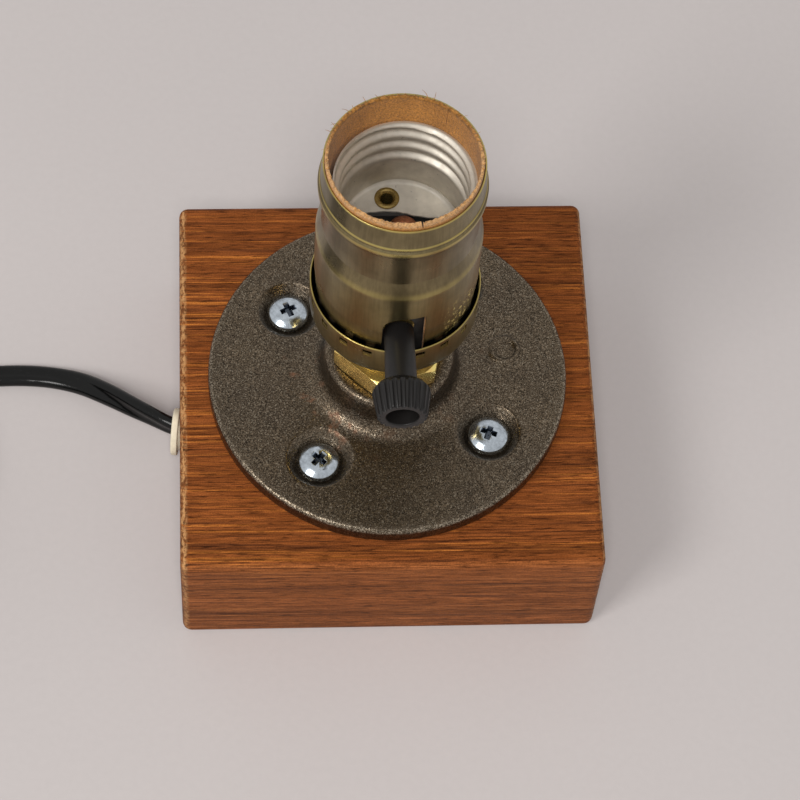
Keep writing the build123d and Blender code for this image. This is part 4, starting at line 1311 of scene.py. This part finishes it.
class LAMP_OT_cap(bpy.types.Operator):
    """Spin the socket's cap and punch its slots"""

    bl_idname = "lamp.cap"
    bl_label = "Socket cap"
    bl_options = {"REGISTER", "UNDO"}

    def execute(self, context):
        socket = context.scene.lamp_socket
        low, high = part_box("socket_cap")
        seat_height, rim = low.z / MM, high.z / MM
        wall = socket.cap_wall / MM
        wide = socket.cap_radius / MM
        hole = 6.05
        neck = 8.0
        neck_top = seat_height + 2.1
        slope = seat_height + 7.77
        first_slot = math.radians(-93.0)
        section = [
            (hole, seat_height, 0),
            (neck, seat_height, 0.5),
            (neck, neck_top, 0.8),
            (wide, slope, 4.0),
            (wide, rim, 0.18),
            (wide - wall, rim, 0.18),
            (wide - wall, slope + wall * 0.5, 3.6),
            (neck - wall, neck_top + wall * 0.5, 0.6),
            (neck - wall, seat_height + wall, 0.3),
            (hole, seat_height + wall, 0),
        ]
        piece = lathe("brass_cap", rounded(section, closed=True), 160)
        places = []
        for number in range(socket.cap_slots):
            turn = turned(first_slot + math.tau * number / socket.cap_slots, "Z")
            middle = (socket.cap_radius - 0.5 * socket.cap_wall, 0, high.z - socket.slot_drop)
            places.append(turn @ moved(middle))
        carve(piece, repeat(self.slot(socket), places))
        bands = [(rim - 0.40, rim + 0.5, 0.12, 0.70), (slope - 1.2, slope + 1.0, 0.9, 0.25)]
        finish = antique_brass("cap_brass", socket, bands, lower_top=rim + 20, scuff_height=rim + 30)
        dress(piece, finish, "lamp", "antique_brass", "socket_cap", sharp=30)
        return {"FINISHED"}

    def slot(self, socket):
        """Tool for a lanced slot: open at its top, and only pressed in a little below."""
        wall = socket.cap_wall
        gap = 0.66 * socket.slot_height
        upper = brick("slot", (3 * wall, socket.slot_width, gap), (0, 0, (socket.slot_height - gap) / 2))
        lower = brick("press", (3 * wall, socket.slot_width, socket.slot_height), (1.55 * wall, 0, 0))
        return carve(upper, lower, "UNION")


def stem_notch(socket, foot):
    """Tool for the slot that the knob's stem passes, with a wide round left and a small one right."""
    reach = 20 * MM
    inner = 4 * MM
    half = socket.notch_width / 2 / MM
    low = foot / MM - 1
    top = (foot + socket.notch_height) / MM
    outline = rounded([(-half, low, 0), (-half, top, half), (half, top, 0.7), (half, low, 0)], closed=True)
    tool = slab("notch", outline, reach / 2)
    return seat(tool, turned(socket.notch_turn, "Z") @ moved((0, -reach / 2 - inner, 0)))


class LAMP_OT_shell(bpy.types.Operator):
    """Spin the socket's shell with its shoulder, bead and notch"""

    bl_idname = "lamp.shell"
    bl_label = "Socket shell"
    bl_options = {"REGISTER", "UNDO"}

    def execute(self, context):
        socket = context.scene.lamp_socket
        low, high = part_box("socket_shell")
        foot, rim = low.z / MM, high.z / MM
        wall = socket.shell_wall / MM
        outside = [
            (15.75, foot, 0),
            (15.80, foot + 7.0, 3.0),
            (16.2, foot + 13.0, 6.0),
            (16.2, foot + 25.8, 2.0),
            (15.2, foot + 30.4, 2.0),
            (15.2, foot + 39.9, 0.35),
            (16.05, foot + 40.9, 0.6),
            (16.12, foot + 42.6, 0.5),
            (15.80, foot + 43.0, 0.2),
            (15.85, foot + 43.7, 0.25),
            (15.62, foot + 44.0, 0.3),
            (15.3, rim, 0.15),
        ]
        inside = [(radius - wall, height, turn) for radius, height, turn in reversed(outside)]
        piece = lathe("brass_shell", rounded(outside + inside, closed=True), 160)
        carve(piece, stem_notch(socket, low.z))
        bands = [
            (rim - 0.35, rim + 0.5, 0.10, 0.9),
            (foot + 43.4, foot + 43.9, 0.15, 0.95),
            (foot + 41.5, foot + 42.5, 0.25, 0.85),
            (foot + 25.4, foot + 27.0, 0.7, 0.40),
        ]
        # The shell's foot is painted near-black up to the last of these heights: painted shade inside the
        # cap.
        heights = {"lower_top": foot + 25, "scuff_height": foot + 12, "foot_shade_top": foot + 7.6}
        finish = antique_brass("shell_brass", socket, bands, **heights)
        dress(piece, finish, "lamp", "antique_brass", "socket_shell", sharp=30)
        return {"FINISHED"}


class LAMP_OT_liner(bpy.types.Operator):
    """Roll the fibre liner with its torn rim and stray fibres"""

    bl_idname = "lamp.liner"
    bl_label = "Fibre liner"
    bl_options = {"REGISTER", "UNDO"}
    lengths = 5

    def execute(self, context):
        socket = context.scene.lamp_socket
        low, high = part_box("fibre_liner")
        foot, top = low.z / MM, high.z / MM
        inner, outer = 13.85, high.x / MM
        heights = [foot, foot + 20.0, top - 14.0, top - 6.0, top - 3.0, top - 1.4, top - 0.6, top - 0.2]
        flare = [0.0, 0.0, 0.0, 0.7, 1.0, 1.0, 1.0, 1.0]
        section = [(outer + 0.17 * wide, height, 0) for height, wide in zip(heights, flare)]
        section += [(outer + 0.05, top, 0), (outer - 0.12, top + 0.04, 0), (inner + 0.45, top, 0)]
        section += [(inner + 0.32 * wide, height, 0) for height, wide in zip(heights[::-1], flare[::-1])]
        piece = lathe("kraft_liner", rounded(section, closed=True), 360)
        carve(piece, stem_notch(socket, low.z - 1.2 * MM))
        self.tear(piece, top)
        carve(piece, self.crack(-80.6, 0.45 * MM, 2.0 * MM, (13 * MM, 16 * MM), high.z + 0.6 * MM))
        carve(piece, self.crack(52.4, 0.26 * MM, 6.0 * MM, (13 * MM, 14.3 * MM), high.z))
        piece = join([piece] + self.fibres(top))
        dress(piece, kraft_fibre(socket, high.z), "lamp", "kraft_fibre", "fibre_liner", sharp=45)
        return {"FINISHED"}

    def tear(self, piece, top):
        """Tilt and fray the rim: its front stands up, its back is level with the shell."""
        frayed = 6.0
        lip = 1.6
        for vertex in piece.data.vertices:
            height = vertex.co.z / MM
            share = clamp((height - (top - frayed)) / frayed)
            if not share:
                continue
            flat = Vector((vertex.co.x, vertex.co.y, 0))
            around = flat.normalized()
            front = 0.5 - 0.5 * around.y
            ragged = noise.noise(around * 16)
            fine = noise.noise(flat / MM * 2.1)
            lift = front * 1.35 - 0.75 + 0.30 * ragged + 0.36 * fine
            vertex.co.z += lift * share * share * MM
            rim = clamp((height - (top - lip)) / lip)
            spread = noise.noise(vertex.co / MM * 1.3)
            lean = 0.10 * max(0.0, -around.x) * share
            vertex.co += around * (0.16 * spread * rim + lean) * MM

    def crack(self, way, wide, tall, reach, top):
        """Tool for a crack in the rim."""
        low, high = reach
        tool = brick("crack", (high - low, wide, 2 * tall), ((high + low) / 2, 0, top))
        for vertex in tool.data.vertices:
            if vertex.co.z < top:
                vertex.co.y = 0.35 * vertex.co.y + 0.9 * wide
        return seat(tool, turned(math.radians(way), "Z"))

    def fibres(self, top):
        """Stray fibres on the rim: many short ones all round, and some long ones at the back left."""
        strand = self.strand(0.075 * MM)
        hairs = []
        long_ones = [152, 150, 147, 156, 133, 129, 118, 108, 71, 66, 40, 22, 171, 184, 305, 262]
        short_ones = [number * 360 / 70 for number in range(70)]
        for number, way in enumerate(long_ones + short_ones):
            turn = math.radians(way)
            out = Vector((math.cos(turn), math.sin(turn), 0))
            side = Vector((-out.y, out.x, 0))
            chance = noise.noise(Vector((number * 1.7, 0.3, 0)))
            bend = noise.noise(Vector((number * 2.3, 5.1, 0)))
            full = 1.0 if number < len(long_ones) else 0.42
            lift = 0.675 - 0.675 * out.y
            root = out * (14.3 + 0.3 * bend) + UPRIGHT * (top - 0.85 + lift)
            reach = (1.2 + 2.0 * abs(chance)) * full
            line = []
            for step in range(self.lengths + 1):
                share = step / self.lengths
                drift = out * (0.8 * reach * share) + side * (bend * 2.4 * full * share * share)
                line.append((root + drift + UPRIGHT * (0.6 * reach * (share - 0.45 * share * share))) * MM)
            hairs.append(self.bend(strand, line))
        bpy.data.objects.remove(strand, do_unlink=True)
        return hairs

    def strand(self, radius):
        """Straight thin strand, cut into its lengths."""
        strand = rod("strand", radius, 0, MM, 5)
        with editing(strand):
            for number in range(1, self.lengths):
                bpy.ops.mesh.select_all(action="SELECT")
                bpy.ops.mesh.bisect(plane_co=(0, 0, MM * number / self.lengths), plane_no=UPRIGHT)
        return strand

    def bend(self, strand, line):
        """Copy of the strand, bent and tapered along a few points."""
        activate(strand)
        bpy.ops.object.duplicate(linked=False)
        hair = bpy.context.object
        for vertex in hair.data.vertices:
            share = vertex.co.z / MM
            place = min(int(share * self.lengths + 0.01), self.lengths - 1)
            middle = line[place].lerp(line[place + 1], share * self.lengths - place)
            taper = 1.0 - 0.6 * share
            vertex.co = middle + Vector((vertex.co.x, vertex.co.y, 0.5 * vertex.co.x)) * taper
        return hair


class LAMP_OT_thread(bpy.types.Operator):
    """Roll the screw shell, and make its tab and eyelet"""

    bl_idname = "lamp.thread"
    bl_label = "Screw shell"
    bl_options = {"REGISTER", "UNDO"}

    def execute(self, context):
        socket = context.scene.lamp_socket
        bright = rolled_aluminium("rolled_aluminium", socket.aluminium, 0.92)
        dress(self.wall(socket), bright, "lamp", "rolled_aluminium", "screw_shell", sharp=60)
        chalky = rolled_aluminium("tab_aluminium", scaled(socket.aluminium, 0.92), 0.60)
        dress(self.tab(socket), chalky, "lamp", "rolled_aluminium", "shell_tab")
        brass = turned_brass(scaled(socket.brass, 0.42), "eyelet_brass")
        dress(self.eyelet(), brass, "lamp", "turned_brass", "shell_eyelet")
        return {"FINISHED"}

    def wall(self, socket):
        """Tube with one rounded helical ridge inside, and a plain cup below it."""
        low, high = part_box("screw_shell")
        steps = 84
        tall = high.z - low.z
        inside = [(socket.cup_radius, low.z + tall * number / steps) for number in range(steps + 1)]
        outside = [(radius + socket.tin, height) for radius, height in reversed(inside)]
        piece = lathe("thread_shell", inside + outside + inside[:1], 144)
        middle = (socket.thread_root + socket.thread_crest) / 2
        swing = (socket.thread_root - socket.thread_crest) / 2
        first_ridge = high.z - 2.0 * MM
        lowest = high.z - 9.9 * MM
        mouth_length = 1.1 * MM
        cup_length = 1.6 * MM
        off_axis = 0.35 * MM
        for vertex in piece.data.vertices:
            flat = Vector((vertex.co.x, vertex.co.y, 0))
            way = math.atan2(vertex.co.y, vertex.co.x) + math.pi / 2
            phase = math.tau * (vertex.co.z - first_ridge) / socket.thread_pitch - way
            ridge = math.cos(phase)
            ridge = ridge * (1.25 - 0.25 * ridge * ridge)
            wave = middle - swing * ridge
            mouth = ease((high.z - vertex.co.z) / mouth_length)
            wave = socket.thread_root + (wave - socket.thread_root) * mouth
            cup = ease((vertex.co.z - lowest + cup_length) / cup_length)
            wave = socket.cup_radius + (wave - socket.cup_radius) * cup
            vertex.co += flat.normalized() * (wave - socket.cup_radius)
        return seat(piece, moved((off_axis, 0, 0)))

    def tab(self, socket):
        """Flat tab with a wavy front edge."""
        low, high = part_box("shell_tab")
        edge = [(-12.0, 4.1), (-8.0, 4.5), (-5.1, 4.94), (-2.6, 5.14), (-0.25, 5.0)]
        edge += [(1.3, 4.65), (3.2, 4.06), (6.1, 3.57), (12.0, 3.4)]
        cup = socket.cup_radius / MM
        bend = 0.9
        bend_height = 0.7
        deselect()
        bpy.ops.mesh.primitive_grid_add(x_subdivisions=96, y_subdivisions=40, size=1.0)
        piece = named("floor_tab")
        for vertex in piece.data.vertices:
            across = vertex.co.x * 1.985 * cup
            front = edge[-1][1]
            for (left, start), (right, end) in zip(edge, edge[1:]):
                if left <= across <= right:
                    front = start + (end - start) * ease((across - left) / (right - left))
                    break
            back = math.sqrt(max(cup * cup - across * across, 0.0)) - 0.03
            depth = front + (max(back, front + 0.02) - front) * (vertex.co.y + 0.5)
            rest = max(0.0, 1.0 - (cup - math.hypot(across, depth)) / bend)
            vertex.co = Vector((across, depth, high.z / MM + bend_height * rest * rest)) * MM
        modify(piece, "SOLIDIFY", thickness=high.z - low.z, offset=-1.0)
        eyelet = sum(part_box("shell_eyelet"), Vector()) / 2
        hole = rod("hole", 1.3 * MM, -MM, MM, 32)
        carve(piece, seat(hole, moved((eyelet.x, eyelet.y, high.z))))
        return face_out(piece)

    def eyelet(self):
        """Rolled-over eyelet through the tab."""
        low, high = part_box("shell_eyelet")
        foot, top = low.z / MM, high.z / MM
        bore = 1.2
        tube = 1.6
        lip = 2.45
        under = top - 0.5
        section = [
            (bore, foot, 0),
            (tube, foot, 0),
            (tube, under, 0),
            (lip, under, 0.15),
            (lip, top - 0.12, 0.2),
            (1.75, top + 0.08, 0.5),
            (bore, top - 0.45, 0.4),
        ]
        piece = lathe("rolled_eyelet", rounded(section, closed=True), 56)
        middle = (low + high) / 2
        return seat(piece, moved((middle.x, middle.y, 0)))


class LAMP_OT_contact(bpy.types.Operator):
    """Press the domed centre contact"""

    bl_idname = "lamp.contact"
    bl_label = "Centre contact"
    bl_options = {"REGISTER", "UNDO"}

    def execute(self, context):
        low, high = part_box("centre_contact")
        foot, top = low.z / MM, high.z / MM
        rim = top - 1.8
        pin = 1.3
        button = 2.9
        button_shift = 0.45 * MM
        shape = [
            (0, foot, 0),
            (0.5, foot, 0.1),
            (pin, foot + 1.1, 0.3),
            (pin, rim, 0),
            (button, rim, 0.15),
            (button, rim + 0.65, 0.3),
            (2.0, rim + 1.42, 1.2),
            (1.0, rim + 1.78, 1.0),
            (0, top, 0),
        ]
        piece = lathe("copper_button", rounded(shape), 64)
        middle = (low + high) / 2
        seat(piece, moved((middle.x, middle.y, 0)))
        for vertex in piece.data.vertices:
            if vertex.co.z > (rim - 0.1) * MM:
                vertex.co.y += button_shift
        socket = context.scene.lamp_socket
        dress(piece, bare_copper(socket.copper), "contact", "copper_contact", "centre_contact")
        self.leaf(socket, middle.y + 0.55 * MM)
        return {"FINISHED"}

    def leaf(self, socket, touch):
        """Flat spring under the stem, bent down a little at its front end."""
        low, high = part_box("contact_leaf")
        steps = 48
        curl = 1.5 * MM
        under = []
        over = []
        for step in range(steps + 1):
            along = low.y + (high.y - low.y) * step / steps
            drop = 0.3 * MM * max(0.0, (low.y + curl - along) / curl) ** 2
            under.append((along, low.z - drop))
            over.append((along, high.z - drop))
        piece = slab("leaf_spring", under + over[::-1], (high.x - low.x) / 2)
        middle = (low + high) / 2
        seat(piece, moved((middle.x, 0, 0)) @ turned(math.pi / 2, "Z"))
        dress(piece, turned_brass(socket.brass), None, "turned_brass", "contact_leaf")
        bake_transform(piece)


class LAMP_OT_knob(bpy.types.Operator):
    """Mould the turn knob with its ribbed hollow head"""

    bl_idname = "lamp.knob"
    bl_label = "Turn knob"
    bl_options = {"REGISTER", "UNDO"}

    def execute(self, context):
        knob = context.scene.lamp_knob
        end, front = knob.stem_end / MM, knob.front / MM
        wide, nose = knob.head_radius / MM, knob.front_radius / MM
        hollow = knob.hollow / MM
        floor = front - knob.hollow_depth / MM
        shape = [
            (0, knob.root / MM, 0),
            (knob.stem_root_radius / MM, knob.root / MM, 0.3),
            (knob.stem_radius / MM, end, 0.25),
            (wide - 1.1, end + 0.15, 0.7),
            (wide, end + 1.6, 0.9),
            (nose, front, 0.45),
            (hollow, front, 0.30),
            (hollow - 0.15, floor, 0.4),
            (0, floor, 0),
        ]
        piece = lathe("ribbed_knob", rounded(shape), 176)
        carve(piece, self.grooves(knob))
        soften(piece, 0.07 * MM, 2, 30)
        seat(piece, moved((0, 0, knob.axis_height)) @ turned(math.pi / 2, "X"))
        finish = moulding("knob_plastic", knob.black, 0.40, 0.22, 0.02, 0.38)
        dress(piece, finish, "knob", "knob_plastic", "turn_knob", sharp=32)
        return {"FINISHED"}

    def grooves(self, knob):
        """Tool for the grooves between the ribs, which follow the taper and run out before the front."""
        tall = knob.front - knob.stem_end
        lean = math.atan2(knob.head_radius - knob.front_radius, tall - 1.6 * MM)
        groove_radius = 0.52 * MM
        groove = rod("groove", groove_radius, -7 * MM, 5 * MM, 20)
        reach = (knob.head_radius + knob.front_radius) / 2 + groove_radius / 4
        places = []
        for number in range(knob.ribs):
            turn = turned(math.tau * (number + 0.5) / knob.ribs, "Z")
            middle = moved((reach, 0, knob.stem_end + tall / 2 - 0.2 * MM))
            places.append(turn @ middle @ turned(-lean * 1.05, "Y"))
        return repeat(groove, places)


class LAMP_OT_grommet(bpy.types.Operator):
    """Mould the cream grommet that sits askew in the block's side"""

    bl_idname = "lamp.grommet"
    bl_label = "Cord grommet"
    bl_options = {"REGISTER", "UNDO"}

    def execute(self, context):
        cord = context.scene.lamp_cord
        wide = cord.grommet_radius / MM
        flange = cord.grommet_flange / MM
        shank = 3.9
        depth = 6.0
        shape = [
            (0, -depth, 0),
            (shank, -depth, 0.4),
            (shank, 0.0, 0.2),
            (wide, 0.0, 0.25),
            (wide, flange, 0.5),
            (3.4, flange + 0.05, 0.6),
            (0, flange, 0),
        ]
        piece = lathe("cream_grommet", rounded(shape), 72)
        carve(piece, self.slit(cord))
        soften(piece, 0.12 * MM)
        out = Vector((-0.99452, 0.10453, 0)).normalized()
        across = UPRIGHT.cross(out)
        place = Matrix((UPRIGHT, -across, out)).transposed().to_4x4()
        seat(piece, moved(Vector((-44.083, 0, 9.0)) * MM) @ place)
        finish = moulding("cream_plastic", cord.cream, 0.45, 0.5, 0.02)
        dress(piece, finish, "lamp", "cream_plastic", "cord_grommet")
        return {"FINISHED"}

    def slit(self, cord):
        """Tool for the long hole that the flat cord passes on edge."""
        half = cord.thickness / 2 + 0.12 * MM
        shift = cord.width / 2 - cord.thickness / 2
        ends = []
        for side in (-1, 1):
            end = rod("end", half, -9 * MM, 4 * MM, 28)
            ends.append(seat(end, moved((side * shift, 0, 0))))
        tool = brick("slit", (2 * shift, 2 * half, 13 * MM), (0, 0, -2.5 * MM))
        for end in ends:
            carve(tool, end, "UNION")
        return tool


class LAMP_OT_inner_parts(bpy.types.Operator):
    """Give the solids that stay as they are their finishes"""

    bl_idname = "lamp.inner_parts"
    bl_label = "Inner parts"
    bl_options = {"REGISTER", "UNDO"}

    def execute(self, context):
        socket = context.scene.lamp_socket
        cord = context.scene.lamp_cord
        zinc = zinc_plate(context.scene.lamp_flange.zinc)
        brass = turned_brass(socket.brass)
        bands = [(50.5, 51.4, 0.2, 0.8)]
        aged = antique_brass("collar_brass", socket, bands, lower_top=200, scuff_height=300)
        black = moulding("black_phenolic", (0.026, 0.025, 0.024), 0.38, 0.8, 0.05)
        leads = moulding("lead_vinyl", (0.03, 0.03, 0.03), 0.45)
        finishes = {
            "threaded_nipple": zinc,
            "cap_collar": aged,
            "collar_set_screw": zinc,
            "switch_body_upper": black,
            "switch_body_lower": black,
            "spindle_bush": brass,
            "switch_spindle": zinc,
            "switch_rotor": moulding("rotor_plastic", (0.62, 0.58, 0.48), 0.5),
            "live_terminal": brass,
            "neutral_terminal": zinc,
            "terminal_screws": zinc,
            "inner_cord": cord_vinyl(cord.vinyl),
            "live_lead": leads,
            "neutral_lead": leads,
        }
        for node, finish in finishes.items():
            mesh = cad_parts[node].data
            mesh.materials.clear()
            mesh.materials.append(finish)
        return {"FINISHED"}


class LAMP_PT_pieces(bpy.types.Panel):
    """Pieces of the lamp and their settings"""

    bl_idname = "LAMP_PT_pieces"
    bl_label = "Block lamp"
    bl_space_type = "VIEW_3D"
    bl_region_type = "UI"
    bl_category = "Lamp"

    def draw(self, context):
        for operator in OPERATORS:
            self.layout.operator(operator.bl_idname)
        for group, kind in GROUPS.items():
            box = self.layout.box()
            box.label(text=kind.__doc__)
            for key in kind.__annotations__:
                box.prop(getattr(context.scene, group), key)


OPERATORS = [
    LAMP_OT_stage,
    LAMP_OT_plug,
    LAMP_OT_cord,
    LAMP_OT_block,
    LAMP_OT_flange,
    LAMP_OT_screws,
    LAMP_OT_bushing,
    LAMP_OT_cap,
    LAMP_OT_shell,
    LAMP_OT_liner,
    LAMP_OT_thread,
    LAMP_OT_contact,
    LAMP_OT_knob,
    LAMP_OT_grommet,
    LAMP_OT_inner_parts,
]


def register():
    """Add the settings, operators and panel."""
    for group, kind in GROUPS.items():
        bpy.utils.register_class(kind)
        setattr(bpy.types.Scene, group, PointerProperty(type=kind))
    for operator in OPERATORS:
        bpy.utils.register_class(operator)
    bpy.utils.register_class(LAMP_PT_pieces)


def unregister():
    """Take the panel, operators and settings away."""
    bpy.utils.unregister_class(LAMP_PT_pieces)
    for operator in reversed(OPERATORS):
        bpy.utils.unregister_class(operator)
    for group, kind in GROUPS.items():
        delattr(bpy.types.Scene, group)
        bpy.utils.unregister_class(kind)


def main():
    """Build the lamp piece by piece."""
    register()
    bpy.ops.lamp.stage()
    bpy.ops.lamp.plug()
    bpy.ops.lamp.cord()
    bpy.ops.lamp.block()
    bpy.ops.lamp.flange()
    bpy.ops.lamp.screws()
    bpy.ops.lamp.bushing()
    bpy.ops.lamp.cap()
    bpy.ops.lamp.shell()
    bpy.ops.lamp.liner()
    bpy.ops.lamp.thread()
    bpy.ops.lamp.contact()
    bpy.ops.lamp.knob()
    bpy.ops.lamp.grommet()
    bpy.ops.lamp.inner_parts()
    deselect()


if __name__ == "__main__":
    main()
